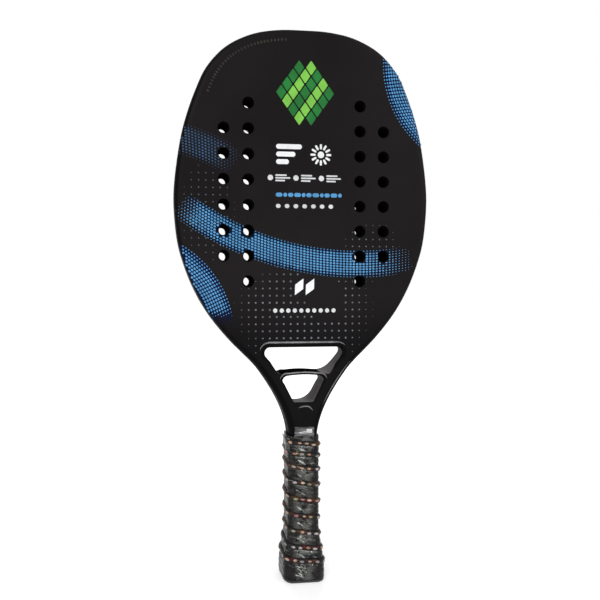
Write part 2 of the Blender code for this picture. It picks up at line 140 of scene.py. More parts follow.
# Bands of printed dashes on arcs: centre, first and last radius
DASH_SPACING = 0.0031
DASH_ROWS = 0.00235
DASH_HALF_LENGTH = 0.00112
DASH_HALF_WIDTH = 0.00082
DASH_LEAST = 0.22
BAND_A = ((0.166, 0.470), 0.050, 0.094)
BAND_B = ((-0.160, 0.222), 0.044, 0.098)
BAND_C = ((0.048, 0.560), 0.2600, 0.2840)
BAND_D = ((-0.160, 0.222), 0.170, 0.196)

# Rib, stitches and film
RIB_HALF_WIDTH = 0.0022
RIB_RISE = 0.0018
STITCH_SPACING = 0.0068
SECTION_COUNT = 256
TAPE_COUNT = 96
TAPE_LOW = 0.0033
TAPE_CAP = (0.93, 0.93, 1.0)
FILM_COUNT = 216
FILM_ROUND = 0.090
FILM_TOP = TAPE_TOP + 0.0012
FILM_LOW = 0.0036
CREASE_LOW = 0.0075
FILM_THICKNESS = 0.0001
TAB_HALF_WIDTH = 0.0090
TAB_LOW, TAB_HIGH = 0.1316, 0.1406
TAB_LIFT = 0.00028

# Sockets of the mix node for colours
MIX_SHARE, MIX_FIRST, MIX_SECOND, MIX_RESULT = 0, 6, 7, 2


# ---- stage

def fill_inputs(tree, node, inputs):
    """Gives each input a constant, or links it where the value is another node's output."""
    for key, value in inputs.items():
        socket = node.inputs[key]
        if isinstance(value, bpy.types.NodeSocket):
            tree.links.new(value, socket)
        else:
            socket.default_value = (*value, 1.0) if socket.type == "RGBA" else value


def add_node(tree, kind, inputs, operation=None):
    """New shader node of that kind, with its inputs filled."""
    node = tree.nodes.new("ShaderNode" + kind)
    if operation:
        node.operation = operation
    fill_inputs(tree, node, inputs)
    return node


def link_object(name, data):
    """New object in the scene."""
    item = bpy.data.objects.new(name, data)
    bpy.context.scene.collection.objects.link(item)
    return item


def add_camera():
    forward = Vector((sin(CAMERA_AZIMUTH) * cos(CAMERA_TILT),
                      cos(CAMERA_AZIMUTH) * cos(CAMERA_TILT),
                      -sin(CAMERA_TILT)))
    right = Vector((cos(CAMERA_AZIMUTH), -sin(CAMERA_AZIMUTH), 0.0))
    up = right.cross(forward)
    turned_right = right * cos(CAMERA_ROLL) + up * sin(CAMERA_ROLL)
    turned_up = up * cos(CAMERA_ROLL) - right * sin(CAMERA_ROLL)
    data = bpy.data.cameras.new("camera")
    data.lens = CAMERA_LENS
    data.sensor_width = SENSOR
    data.shift_x = CAMERA_SHIFT
    data.clip_start = 0.01
    camera = link_object("camera", data)
    matrix = Matrix((turned_right, turned_up, -forward)).transposed().to_4x4()
    matrix.translation = CAMERA_PLACE
    camera.matrix_world = matrix
    bpy.context.scene.camera = camera


def add_lamp(name, place, target_height, size, power):
    data = bpy.data.lights.new(name, "AREA")
    data.shape = "RECTANGLE"
    data.size, data.size_y = size
    data.energy = power
    lamp = link_object(name, data)
    lamp.location = place
    aim = Vector((0.0, 0.0, target_height)) - lamp.location
    lamp.rotation_euler = aim.to_track_quat("-Z", "Y").to_euler()


def seen_ray(tree):
    """1 for camera, glossy and transmission rays, 0 for the rest."""
    rays = add_node(tree, "LightPath", {}).outputs
    seen = rays["Is Camera Ray"]
    for other in ("Is Glossy Ray", "Is Transmission Ray"):
        seen = add_node(tree, "Math", {0: seen, 1: rays[other]}, "MAXIMUM").outputs[0]
    return seen


def add_world(level):
    """White where it is seen, and a softer light on everything else."""
    world = bpy.data.worlds.new("studio")
    bpy.context.scene.world = world
    world.use_nodes = True
    tree = world.node_tree
    tree.nodes.clear()
    lit, seen = [add_node(tree, "Background", {"Color": WHITE, "Strength": strength}).outputs[0]
                 for strength in (level, 1.0)]
    mix = add_node(tree, "MixShader", {0: seen_ray(tree), 1: lit, 2: seen})
    add_node(tree, "OutputWorld", {"Surface": mix.outputs[0]})


def add_floor():
    """White floor that glows where it is seen, less so round the racket."""
    mesh = bpy.data.meshes.new("floor")
    half = FLOOR_HALF
    mesh.from_pydata([(-half, -half, 0), (half, -half, 0), (half, half, 0), (-half, half, 0)],
                     [], [(0, 1, 2, 3)])
    floor = link_object("floor", mesh)
    finish = Finish("floor", (0.80, 0.80, 0.80), 0.9, 0.0)
    away = finish.add("VectorMath", {0: finish.place}, "LENGTH").outputs["Value"]
    glow = finish.ramp(away, GLOW_NEAR[0], GLOW_FAR[0], GLOW_NEAR[1], GLOW_FAR[1], smooth=False)
    strength = finish.times(seen_ray(finish.tree), glow)
    finish.set({"Emission Color": WHITE, "Emission Strength": strength})
    mesh.materials.append(finish.material)


# ---- materials

class Finish:
    """Material whose inputs follow noise in the object coordinates of its piece, in metres."""

    def __init__(self, name, colour, roughness, specular):
        self.material = bpy.data.materials.new(name)
        self.material.use_nodes = True
        self.tree = self.material.node_tree
        self.place = self.add("TexCoord", {}).outputs["Object"]
        self.set({"Base Color": colour, "Roughness": roughness, "Specular IOR Level": specular})

    def add(self, kind, inputs, operation=None):
        return add_node(self.tree, kind, inputs, operation)

    def set(self, inputs):
        fill_inputs(self.tree, self.tree.nodes["Principled BSDF"], inputs)

    def axes(self):
        """The coordinates X, Y and Z."""
        return list(self.add("SeparateXYZ", {0: self.place}).outputs)

    def distance_to(self, x, z):
        """Distance from a point in the plane of the face."""
        flat = self.add("VectorMath", {0: self.place, 1: (1.0, 0.0, 1.0)}, "MULTIPLY")
        gap = self.add("VectorMath", {0: flat.outputs[0], 1: (x, 0.0, z)}, "DISTANCE")
        return gap.outputs["Value"]

    def math(self, operation, *values):
        return self.add("Math", dict(enumerate(values)), operation).outputs[0]

    def times(self, first, second):
        return self.math("MULTIPLY", first, second)

    def noise(self, scale, detail, vector=None):
        vector = self.place if vector is None else vector
        node = self.add("TexNoise", {"Vector": vector, "Scale": scale, "Detail": detail})
        return node.outputs["Fac"]

    def ramp(self, value, low, high, start=0.0, end=1.0, smooth=True):
        """Takes low to start and high to end, and stays level beyond them."""
        node = self.add("MapRange", {"Value": value, "From Min": low, "From Max": high,
                                     "To Min": start, "To Max": end})
        node.interpolation_type = "SMOOTHSTEP" if smooth else "LINEAR"
        return node.outputs["Result"]

    def between(self, value, start, full, end, gone):
        """1 where the value lies between two levels, falling off at both."""
        return self.times(self.ramp(value, start, full), self.ramp(value, end, gone, 1.0, 0.0))

    def cloud(self, scale, detail, *levels):
        """Noise with its levels moved by a ramp."""
        return self.ramp(self.noise(scale, detail), *levels)

    def mix(self, share, first, second):
        node = self.add("Mix", {})
        node.data_type = "RGBA"
        fill_inputs(self.tree, node, {MIX_SHARE: share, MIX_FIRST: first, MIX_SECOND: second})
        return node.outputs[MIX_RESULT]

    def bump(self, height, strength, distance=0.0002):
        node = self.add("Bump", {"Strength": strength, "Distance": distance, "Height": height})
        self.set({"Normal": node.outputs["Normal"]})


def mottled(name, colour, roughness, specular, patch, tones, grain=(), **driven):
    """Two tones in patches. The patch and each driven input are (scale, detail, ramp levels) of a
    cloud; the grain is (scale, detail) and the strength of its bump."""
    finish = Finish(name, colour, roughness, specular)
    finish.set({"Base Color": finish.mix(finish.cloud(*patch), *tones)})
    finish.set({key: finish.cloud(*levels) for key, levels in driven.items()})
    if grain:
        finish.bump(finish.noise(*grain[:2]), *grain[2:])
    return finish.material


def scaled(colour, factor):
    return tuple(part * factor for part in colour)


def ink(name, colour, spread):
    return mottled("ink_" + name, colour, 0.45, 0.2, (70.0, 3.0, 0.3, 0.7),
                   (scaled(colour, spread), colour))


def thread(name, colour):
    """Waxed thread of one colour, darker and duller in patches."""
    return mottled("thread_" + name, colour, 0.32, 0.5, (260.0, 2.0, 0.35, 0.65),
                   (scaled(colour, 0.45), colour), (3000.0, 2.0, 0.3))


def plastic(name, colour, roughness):
    return mottled(name, colour, roughness, 0.4, (1600.0, 3.0, 0.3, 0.7),
                   (colour, scaled(colour, 1.6)), (1600.0, 3.0, 0.15))


def crease_highlight(name, dark, pale):
    """Pale film on the folds, a painted highlight: clouded along its length and thin between the
    clouds.
    """
    return mottled(name, pale, 0.34, 0.4, (300.0, 2.0, 0.38, 0.62), (dark, pale),
                   (1400.0, 2.0, 0.2), Alpha=(240.0, 2.0, 0.35, 0.60, 0.25, 0.95))


def face_finish():
    """Satin charcoal lacquer, black near the throat and the edge, navy under the printed bands."""
    finish = Finish("face_lacquer", (0.010, 0.009, 0.009), 0.42, 0.032)
    x, y, z = finish.axes()
    tone = finish.mix(finish.cloud(9.0, 2.0, 0.35, 0.65),
                      (0.0118, 0.0098, 0.0106), (0.0086, 0.0074, 0.0080))
    tone = finish.mix(finish.ramp(z, 0.205, 0.262, 1.0, 0.0), tone, (0.0016, 0.0013, 0.0018))
    depth = finish.math("ABSOLUTE", y)
    edge = finish.ramp(depth, HALF_DEPTH - 0.0016, HALF_DEPTH - 0.0002, 1.0, 0.0)
    tone = finish.mix(edge, tone, (0.0020, 0.0019, 0.0021))
    navy = (0.0010, 0.0055, 0.034)
    wide = (-0.05, -0.04), (-0.004, -0.001)
    narrow = (-0.001, 0.001), (-0.002, 0.0)
    top = finish.between(x, -0.110, -0.085, 0.045, 0.095)
    for (centre, first, last), (inner, outer), limit, colour in (
            (BAND_A, wide, None, navy),
            (BAND_B, wide, finish.ramp(z, 0.232, 0.250), navy),
            (BAND_C, narrow, top, (0.0020, 0.0065, 0.024))):
        near = finish.between(finish.distance_to(*centre), first + inner[0], first + inner[1],
                              last + outer[0], last + outer[1])
        if limit is not None:
            near = finish.times(near, limit)
        tone = finish.mix(near, tone, colour)
    threads = [finish.math("SINE", finish.times(finish.math(sign, x, z), 2200.0))
               for sign in ("ADD", "SUBTRACT")]
    weave = finish.times(*threads)
    finish.set({"Base Color": tone, "Roughness": finish.ramp(weave, -1.0, 1.0, 0.38, 0.46)})
    finish.bump(weave, 0.04)
    return finish.material


def wall_finish():
    """Dull brownish-grey right-hand walls of the openings, and left-hand ones turned black by
    painted shade.
    """
    finish = Finish("throat_wall", (0.04, 0.036, 0.036), 0.6, 0.08)
    tone = finish.mix(finish.cloud(85.0, 4.0, 0.3, 0.7),
                      (0.030, 0.026, 0.027), (0.088, 0.076, 0.078))
    # Painted shade: the walls left of the middle turn black.
    left = finish.ramp(finish.axes()[0], -0.012, -0.006, 1.0, 0.0)
    finish.set({"Base Color": finish.mix(left, tone, (0.0016, 0.0016, 0.0018))})
    finish.bump(finish.noise(900.0, 3.0), 0.15)
    return finish.material


def rib_finish():
    """Dark rib whose seam shows wine red, brown and olive in turns."""
    finish = Finish("rib_surface", (0.02, 0.010, 0.009), 0.40, 0.14)
    hue = finish.noise(42.0, 1.0)
    warm = finish.mix(finish.ramp(hue, 0.40, 0.50), (0.060, 0.006, 0.011), (0.042, 0.018, 0.007))
    warm = finish.mix(finish.ramp(hue, 0.54, 0.62), warm, (0.036, 0.030, 0.004))
    tone = finish.mix(finish.cloud(130.0, 3.0, 0.46, 0.66), (0.0060, 0.0050, 0.0050), warm)
    finish.set({"Base Color": tone})
    finish.bump(finish.noise(1500.0, 3.0), 0.25, 0.0003)
    return finish.material


def film_finish(name, alpha, deep, tints, specular, glow):
    """Clear film over black, tinted in patches, with a painted sheen in clouds along the middle of
    the front.
    """
    finish = Finish(name, tints[0], 0.16, specular)
    facing = finish.add("LayerWeight", {"Blend": 0.35}).outputs["Facing"]
    tint = finish.mix(finish.cloud(55.0, 1.0, 0.44, 0.56), *tints)
    tone = finish.mix(finish.cloud(75.0, 2.0, 0.42, 0.64), deep, tint)
    x, y, _ = finish.axes()
    # Painted sheen: the base colour turns towards the last colour in clouds along the middle of the
    # front.
    middle = finish.times(finish.between(x, -0.013, -0.005, 0.002, 0.010),
                          finish.ramp(y, -0.0105, -0.0090, 1.0, 0.0))
    middle = finish.times(middle, finish.cloud(150.0, 1.0, 0.36, 0.60))
    finish.set({"Base Color": finish.mix(middle, tone, glow),
                "Alpha": finish.ramp(facing, 0.0, 1.0, *alpha),
                "Roughness": finish.cloud(120.0, 1.0, 0.3, 0.7, 0.14, 0.28)})
    finish.bump(finish.noise(110.0, 1.0), 0.20, 0.0005)
    return finish.material


def tab_finish():
    """Film drawn into level streaks, with a painted highlight at its right end that runs on along
    the streaks left of it.
    """
    finish = Finish("tab_film", (0.06, 0.055, 0.06), 0.30, 0.3)
    drawn = finish.add("VectorMath", {0: finish.place, 1: (1.0, 1.0, 9.0)}, "MULTIPLY").outputs[0]
    streak = finish.ramp(finish.noise(130.0, 3.0, drawn), 0.42, 0.66)
    # The streak noise bumps the film into creases and also gives it a lighter tone, a painted sheen
    # on them.
    tone = finish.mix(streak, (0.026, 0.024, 0.026), (0.130, 0.126, 0.130))
    x, _, z = finish.axes()
    painted_glint = finish.times(finish.between(x, 0.0016, 0.0022, 0.0068, 0.0072),
                         finish.between(z, 0.1352, 0.1356, 0.1386, 0.1390))
    painted_trail = finish.times(finish.between(x, -0.0058, -0.0038, 0.0068, 0.0072),
                         finish.between(z, 0.1348, 0.1352, 0.1364, 0.1372))
    # Painted highlight: near-white base colour at the right end and on the paler parts of the
    # streaks left of it.
    white = finish.math("MAXIMUM", painted_glint, finish.times(painted_trail, streak))
    finish.set({"Base Color": finish.mix(white, tone, (0.58, 0.58, 0.60))})
    finish.bump(streak, 0.3, 0.0003)
    return finish.material


# ---- mesh helpers

def add_piece(name, mesh, material, slot, *nodes):
    """Piece from one mesh or a list; it rides on the body and takes the place of the CAD nodes."""
    if isinstance(mesh, list):
        mesh = join_meshes(name, mesh)
    item = link_object(name, mesh)
    mesh.materials.append(material)
    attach(item, BODY)
    if nodes:
        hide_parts(*nodes)
    return item


def turn_faces(mesh, wanted=None):
    """Turns each face to the side of wanted(face), or all of them outwards."""
    work = bmesh.new()
    work.from_mesh(mesh)
    if wanted is None:
        bmesh.ops.recalc_face_normals(work, faces=work.faces)
    else:
        for face in work.faces:
            if face.normal.dot(wanted(face)) < 0:
                face.normal_flip()
    work.to_mesh(mesh)
    work.free()


def grid_mesh(name, rows, closed=False, caps=False, normals=None):
    """Mesh through rows of points; closed joins the ends of each row."""
    rows = np.asarray(rows)
    n, m = rows.shape[:2]
    faces = []
    for i in range(n - 1):
        for j in range(m if closed else m - 1):
            k = (j + 1) % m
            faces.append((i * m + j, i * m + k, (i + 1) * m + k, (i + 1) * m + j))
    if caps:
        faces += [tuple(range(m)), tuple(range((n - 1) * m, n * m))]
    mesh = bpy.data.meshes.new(name)
    mesh.from_pydata(rows.reshape(-1, 3).tolist(), [], faces)
    if normals is None:
        turn_faces(mesh)
        mesh.shade_smooth()
        return mesh
    flat = np.asarray(normals).reshape(-1, 3)
    turn_faces(mesh, lambda face: sum((Vector(flat[v.index]) for v in face.verts), Vector()))
    mesh.shade_smooth()
    mesh.normals_split_custom_set([flat[loop.vertex_index] for loop in mesh.loops])
    return mesh


def join_meshes(name, meshes):
    """One mesh from several, with their custom normals kept."""
    verts, faces, normals = [], [], []
    for mesh in meshes:
        start = len(verts)
        verts += [tuple(v.co) for v in mesh.vertices]
        faces += [tuple(start + i for i in p.vertices) for p in mesh.polygons]
        normals += [tuple(n.vector) for n in mesh.corner_normals]
    joined = bpy.data.meshes.new(name)
    joined.from_pydata(verts, [], faces)
    joined.shade_smooth()
    joined.normals_split_custom_set(normals)
    for mesh in meshes:
        bpy.data.meshes.remove(mesh)
    return joined


def unit(vectors):
    return vectors / norm(vectors, axis=-1, keepdims=True)


def at_depth(points, y):
    """Points of (x, z) as points of the row frame, at one depth or at a depth each."""
    return np.column_stack([points[:, 0], np.broadcast_to(y, len(points)), points[:, 1]])


def smoothstep(value, low, high):
    t = np.clip((value - low) / (high - low), 0.0, 1.0)
    return t * t * (3 - 2 * t)


def window(value, start, full, end, gone):
    return smoothstep(value, start, full) * (1 - smoothstep(value, end, gone))


def catmull_rom(points, steps):
    points = np.array(points, dtype=float)
    padded = np.vstack([2 * points[0] - points[1], points, 2 * points[-1] - points[-2]])
    line = []
    for i in range(1, len(padded) - 2):
        before, start, end, after = padded[i - 1:i + 3]
        for k in range(steps):
            t = k / steps
            line.append(0.5 * (2 * start + (end - before) * t
                               + (2 * before - 5 * start + 4 * end - after) * t ** 2
                               + (3 * start - before - 3 * end + after) * t ** 3))
    line.append(points[-1])
    return np.array(line)


def rounded_polygon(corners, radii, steps):
    corners = np.array(corners, dtype=float)
    outline = []
    for i, corner in enumerate(corners):
        before = unit(corners[i - 1] - corner)
        after = unit(corners[(i + 1) % len(corners)] - corner)
        half = acos(np.clip(before @ after, -1.0, 1.0)) / 2
        centre = corner + unit(before + after) * radii[i] / sin(half)
        start, end = [corner + side * radii[i] / tan(half) - centre for side in (before, after)]
        first = atan2(start[1], start[0])
        turn = atan2(end[1], end[0]) - first
        turn = (turn + pi) % (2 * pi) - pi
        for k in range(steps + 1):
            angle = first + turn * k / steps
            outline.append(centre + radii[i] * np.array([cos(angle), sin(angle)]))
    return np.array(outline)


def circle(x, z, radius, sides):
    angles = np.arange(sides) * 2 * pi / sides
    return np.column_stack([x + radius * np.cos(angles), z + radius * np.sin(angles)])


def whole_outline():
    """Outline from the left foot of the neck over the head to the right foot."""
    mirrored = [(-OUTLINE[1][0], OUTLINE[1][1])] + OUTLINE
    half = catmull_rom(mirrored, OUTLINE_STEPS)[OUTLINE_STEPS:]
    return np.vstack([half[:0:-1] * np.array([-1.0, 1.0]), half])


def line_normals(line):
    """Unit normals on the right of a line; on the outline they point inwards."""
    along = unit(np.gradient(line, axis=0))
    return np.column_stack([along[:, 1], -along[:, 0]])


def loop_normals(loop):
    """Unit normals of a closed loop that point away from its middle."""
    along = unit(np.roll(loop, -1, axis=0) - np.roll(loop, 1, axis=0))
    normal = np.column_stack([along[:, 1], -along[:, 0]])
    away = ((loop - loop.mean(axis=0)) * normal).sum() > 0
    return normal if away else -normal


# ---- racket body

EDGE_LINE = whole_outline()
EDGE_INWARD = line_normals(EDGE_LINE)
# Reach of the rounded edge onto the face: it grows from the arms to the head
EDGE_REACH = (EDGE_REACH_ARM + (EDGE_REACH_HEAD - EDGE_REACH_ARM)
              * smoothstep(EDGE_LINE[:, 1], 0.222, 0.285))
HOLES = np.array([(side * column, HOLE_TOP - row * HOLE_PITCH) for column, rows, first in COLUMNS
                  for row in range(first, first + rows) for side in (-1, 1)])
ACROSS_HOLE = Vector((1.0, 0.0, 1.0))


def edge_strip(line, inward, reach, drop, power, steps, side):
    """Rows of points and normals from the flat face over a superellipse to the wall."""
    rows, normals = [], []
    for k in range(steps + 1):
        angle = pi / 2 * k / steps
        x = sin(angle) ** (2 / power)
        y = cos(angle) ** (2 / power) if k < steps else 0.0
        place = line + inward * (reach * (1 - x))[:, None]
        rows.append(at_depth(place, side * (HALF_DEPTH - drop * (1 - y))))
        normals.append(unit(at_depth(-inward * (x ** (power - 1) / reach)[:, None],
                                     side * y ** (power - 1) / drop)))
    return rows, normals


def arch(x):
    return BAR_DROP * (x / BAR_DROP_HALF) ** 2


def fine_loop(corners, radii, counts=None):
    """Closed rounded loop with short steps; counts keep two loops in step with each other."""
    coarse = rounded_polygon(corners, radii, 10)
    pairs = list(zip(coarse, np.roll(coarse, -1, axis=0)))
    if counts is None:
        counts = [max(1, int(norm(b - a) / LOOP_STEP)) for a, b in pairs]
    fine = [a + (b - a) * k / count for (a, b), count in zip(pairs, counts) for k in range(count)]
    return np.array(fine), counts


def opening(bar_edge, front, back):
    """Front and back loops from (corners, radii); the bar's arch bends them near the bar."""
    front, counts = fine_loop(*front)
    back, _ = fine_loop(*back, counts)
    for loop in (front, back):
        weight = 1 - smoothstep(np.abs(loop[:, 1] - bar_edge), 0.0, ARCH_FADE)
        loop[:, 1] -= arch(loop[:, 0]) * weight
    return front, back


def upper_reach(loop):
    """Width of the upper opening's bevel: narrow on the bar, wider at the top and the left."""
    low = loop[:, 1].min()
    return (0.0003 + 0.0023 * smoothstep(loop[:, 1], low + 0.0020, low + 0.009)
            + 0.0024 * smoothstep(loop[:, 1], 0.199, 0.211)
            + 0.0012 * smoothstep(-loop[:, 0], 0.030, 0.038))


def lower_reach(loop):
    """Width of the lower opening's bevel: wider at the upper corners, narrower under the bar."""
    x, z = np.abs(loop[:, 0]), loop[:, 1]
    corner = smoothstep(x, 0.009, 0.016) * smoothstep(z, 0.174, 0.183)
    bar = (1 - smoothstep(x, 0.012, 0.019)) * smoothstep(z, 0.180, 0.184)
    return 0.0011 + 0.0010 * corner - 0.0004 * bar


FRONT_TOP_HALF = OPENING_TOP_HALF + 0.0033
BACK_TOP_HALF = OPENING_TOP_HALF + 0.0019
BACK_BOTTOM = OPENING_BOTTOM - 0.0008
# Openings: edge at the bar, then front and back corners clockwise from the top left, and radii
UPPER = opening(
    BAR_TOP,
    ([(-FRONT_TOP_HALF, OPENING_TOP), (FRONT_TOP_HALF, OPENING_TOP), (0.0228, BAR_TOP),
      (-0.0228, BAR_TOP)], [0.0052, 0.0052, 0.0046, 0.0095]),
    ([(-BACK_TOP_HALF, OPENING_TOP), (BACK_TOP_HALF, OPENING_TOP), (0.0280, BAR_TOP),
      (-0.0300, BAR_TOP)], [0.0042, 0.0042, 0.0318, 0.0240]))
LOWER = opening(
    BAR_BOTTOM,
    ([(-0.0224, BAR_BOTTOM), (0.0208, BAR_BOTTOM), (0.0086, OPENING_BOTTOM),
      (-0.0096, OPENING_BOTTOM)], [0.0042, 0.0042, 0.0020, 0.0020]),
    ([(-0.0236, BAR_BOTTOM), (0.0215, BAR_BOTTOM), (0.0080, BACK_BOTTOM),
      (-0.0110, BACK_BOTTOM)], [0.0046, 0.0046, 0.0175, 0.0070]))
OPENINGS = ((UPPER, upper_reach), (LOWER, lower_reach))
# Where the bevels of the openings meet the front face
THROAT_LOOPS = [front + loop_normals(front) * reach(front)[:, None]
                for (front, _), reach in OPENINGS]


def opening_strips(loops, reach_of):
    """Bevels on both faces of an opening and the walls between them, as grids with normals."""
    bevels = []
    for loop, side in zip(loops, (-1, 1)):
        reach = reach_of(loop)
        drop = np.minimum(THROAT_DROP, 0.9 * reach)
        rows, normals = edge_strip(loop, loop_normals(loop), reach, drop, 2.0, THROAT_STEPS, side)
        bevels.append((np.array(rows), np.array(normals)))
    edge_front, edge_back = bevels[0][0][-1], bevels[1][0][-1]
    inner_front, inner_back = [-loop_normals(loop) for loop in loops]
    rows, normals = [], []
    for t in np.linspace(0, 1, WALL_STEPS + 1):
        ease = smoothstep(t, 0.0, 1.0)
        rows.append(edge_front * (1 - ease) + edge_back * ease)
        rows[-1][:, 1] = edge_front[:, 1] * (1 - t) + edge_back[:, 1] * t
        normals.append(at_depth(unit(inner_front * (1 - ease) + inner_back * ease), 0.0))
    return bevels, (np.array(rows), np.array(normals))


def flat_face(name, loops, side):
    """Flat sheet inside the first loop and outside the others, at the front (-1) or back (1)."""
    work = bmesh.new()
    edges = []
    for loop in loops:
        verts = [work.verts.new((x, side * HALF_DEPTH, z)) for x, z in loop]
        edges += [work.edges.new(pair) for pair in zip(verts, verts[1:] + verts[:1])]
    bmesh.ops.triangle_fill(work, use_beauty=True, use_dissolve=False, edges=edges,
                            normal=(0.0, side, 0.0))
    mesh = bpy.data.meshes.new(name)
    work.to_mesh(mesh)
    work.free()
    turn_faces(mesh, lambda face: Vector((0.0, side, 0.0)))
    return mesh


def hole_liners():
    """Walls of the holes with a small rounded lip on both faces; the foam swells between them."""
    levels = [(grow, drop - HALF_DEPTH) for grow, drop in HOLE_LIP]
    levels += [(-share * HOLE_SWELL, HALF_DEPTH * (2 * t - 1)) for t, share in HOLE_WAIST]
    levels += [(grow, HALF_DEPTH - drop) for grow, drop in reversed(HOLE_LIP)]
    meshes = []
    for x, z in HOLES:
        rows = [at_depth(circle(x, z, HOLE_RADIUS + grow, HOLE_SIDES), y) for grow, y in levels]
        mesh = grid_mesh("liner", rows, closed=True)
        axis = Vector((x, 0.0, z))
        turn_faces(mesh, lambda face: (axis - face.calc_center_median()) * ACROSS_HOLE)
        meshes.append(mesh)
    return join_meshes("hole_liners", meshes)


def paint_bar_shade(mesh):
    """Second material slot, matte black, on the bar's level faces within the given ends: painted
    shade.
    """
    for face in mesh.polygons:
        middle = sum((mesh.vertices[i].co for i in face.vertices), Vector()) / len(face.vertices)
        on_bar = abs(middle.z - BAR_MIDDLE + arch(middle.x)) < BAR_BAND
        level = abs(face.normal.z) > 0.5
        if on_bar and level and BAR_SHADE_LEFT < middle.x < BAR_SHADE_RIGHT:
            face.material_index = 1


def build_body(rim, face, wall, core):
    """Faces with their bevels and the edge's painted part, rim, throat walls and hole walls."""
    outer = EDGE_LINE + EDGE_INWARD * EDGE_REACH[:, None]
    holes = [circle(x, z, HOLE_RADIUS + HOLE_CHAMFER, HOLE_SIDES) for x, z in HOLES]
    walls, bevels, inner = [], {-1: [], 1: []}, {-1: [], 1: []}
    for loops, reach in OPENINGS:
        strips, (rows, normals) = opening_strips(loops, reach)
        walls.append(grid_mesh("walls", rows, closed=True, normals=normals))
        for side, (rows, normals) in zip((-1, 1), strips):
            bevels[side].append(grid_mesh("bevel", rows, closed=True, normals=normals))
            inner[side].append(rows[0][:, [0, 2]])
    rim_rows, rim_normals = [], []
    for side, tag in SIDES:
        rows, normals = edge_strip(EDGE_LINE, EDGE_INWARD, EDGE_REACH, EDGE_DROP, EDGE_POWER,
                                   EDGE_STEPS, side)
        rim_rows += rows[EDGE_PAINTED:][::-side]
        rim_normals += normals[EDGE_PAINTED:][::-side]
        strip = grid_mesh("strip", rows[:EDGE_PAINTED + 1], normals=normals[:EDGE_PAINTED + 1])
        name = "face_" + tag
        sheet = flat_face(name, [outer] + inner[side] + holes, side)
        add_piece(name, [sheet, strip] + bevels[side], face, "face_laminate", tag + "_skin")
    mesh = grid_mesh("rim", rim_rows, normals=rim_normals)
    add_piece("rim", mesh, rim, "gloss_carbon", "frame_tube")
    throat = add_piece("throat_walls", walls, wall, "gloss_carbon",
                       "throat_bridge", "throat_gusset", "throat_crossbar").data
    # Second slot: the matte black that paints shade on the bar
    throat.materials.append(core)
    paint_bar_shade(throat)
    add_piece("hole_walls", hole_liners(), core, "foam", "core_foam")


def bead(line, width, height, side):
    """Low rounded ridge along an open line on the face, fading out at both ends."""
    count = len(line)
    angles = np.arange(9) * pi / 8
    rows = []
    for i, (place, across) in enumerate(zip(line, line_normals(line))):
        fade = min(1.0, (i + 0.3) / BEAD_FADE, (count - 0.7 - i) / BEAD_FADE) ** 0.7
        ring = place - np.outer(np.cos(angles), across) * width * fade
        rows.append(at_depth(ring, side * (HALF_DEPTH - 0.00010 + np.sin(angles) * height * fade)))
    return grid_mesh("bead", rows)


def loop_part(loop, reach, keep):
    """Run of a closed loop, moved out by its reach, where keep(x, z) holds, from its left end."""
    moved = loop + loop_normals(loop) * reach[:, None]
    wanted = [keep(x, z) for x, z in loop]
    first = [i for i in range(len(loop)) if wanted[i] and not wanted[i - 1]][0]
    order = [(first + k) % len(loop) for k in range(len(loop))]
    return moved[[i for i in order if wanted[i]]]


def build_lips(material):
    """Beads along the bevels of the openings and a low ridge down the right arm, whose pale lacquer
    is a painted highlight.
    """
    ridge = EDGE_LINE + EDGE_INWARD * 0.0038
    x, z = EDGE_LINE.T
    ridge = ridge[(x > 0) & (z > 0.158) & (z < 0.200)]
    for (side, tag), upper, lower in zip(SIDES, UPPER, LOWER):
        middle = 1 - smoothstep(np.abs(lower[:, 0]), 0.012, 0.019)
        upper = loop_part(upper, upper_reach(upper) * 0.94,
                          lambda x, z: z > (0.2085 if x < 0 else 0.2100))
        lower = loop_part(lower, 0.0031 - 0.0010 * middle, lambda x, z: z > 0.1825)
        beads = [bead(upper, 0.00095, 0.00036, side), bead(lower, 0.00076, 0.00026, side),
                 bead(ridge, 0.00042, 0.00046, side)]
        add_piece("lips_" + tag, beads, material, "gloss_carbon")


def build_crescent(material):
    """Small raised arc under the lower opening, front and back, whose pale lacquer is a painted
    highlight.
    """
    path = catmull_rom([(-0.0058, 0.1576), (-0.0032, 0.1588), (0.0006, 0.1594), (0.0038, 0.1590),
                        (0.0062, 0.1573), (0.0082, 0.1549)], 5)
    for side, tag in SIDES:
        add_piece("arc_" + tag, bead(path, 0.00075, 0.00040, side), material, "gloss_carbon")


# ---- prints: closed outlines in (x, z), each one flat polygon just above the face

PRINT_LIFT = 0.00006
PRINT_HALF_WIDTH = 0.1165
PRINT_LOW = 0.150
EDGE_MARGIN = 0.0011
HOLE_MARGIN = 0.0004
THROAT_MARGIN = 0.0008
HEAD_MIDDLE = np.array([0.0, 0.34])


def print_depth(points):
    """Distance from the middle plane to the printed face or its rounded edge."""
    gaps = norm(EDGE_LINE[None] - points[:, None], axis=2)
    x = np.clip(1 - gaps.min(axis=1) / EDGE_REACH[gaps.argmin(axis=1)], 0.0, 1.0)
    y = (1 - x ** EDGE_POWER) ** (1 / EDGE_POWER)
    return HALF_DEPTH - EDGE_DROP * (1 - y) + PRINT_LIFT


def clear_of_throat(x, z, radius):
    for loop in THROAT_LOOPS:
        if z > loop[:, 1].max() + 2 * radius or z < loop[:, 1].min() - 2 * radius:
            continue
        if (norm(loop - np.array([x, z]), axis=1) < radius + THROAT_MARGIN).any():
            return False
        following = np.roll(loop, -1, axis=0)
        spans = (loop[:, 1] > z) != (following[:, 1] > z)
        rise = np.where(spans, following[:, 1] - loop[:, 1], 1.0)
        cross = loop[:, 0] + (z - loop[:, 1]) * (following[:, 0] - loop[:, 0]) / rise
        if (spans & (x < cross)).sum() % 2:
            return False
    return True


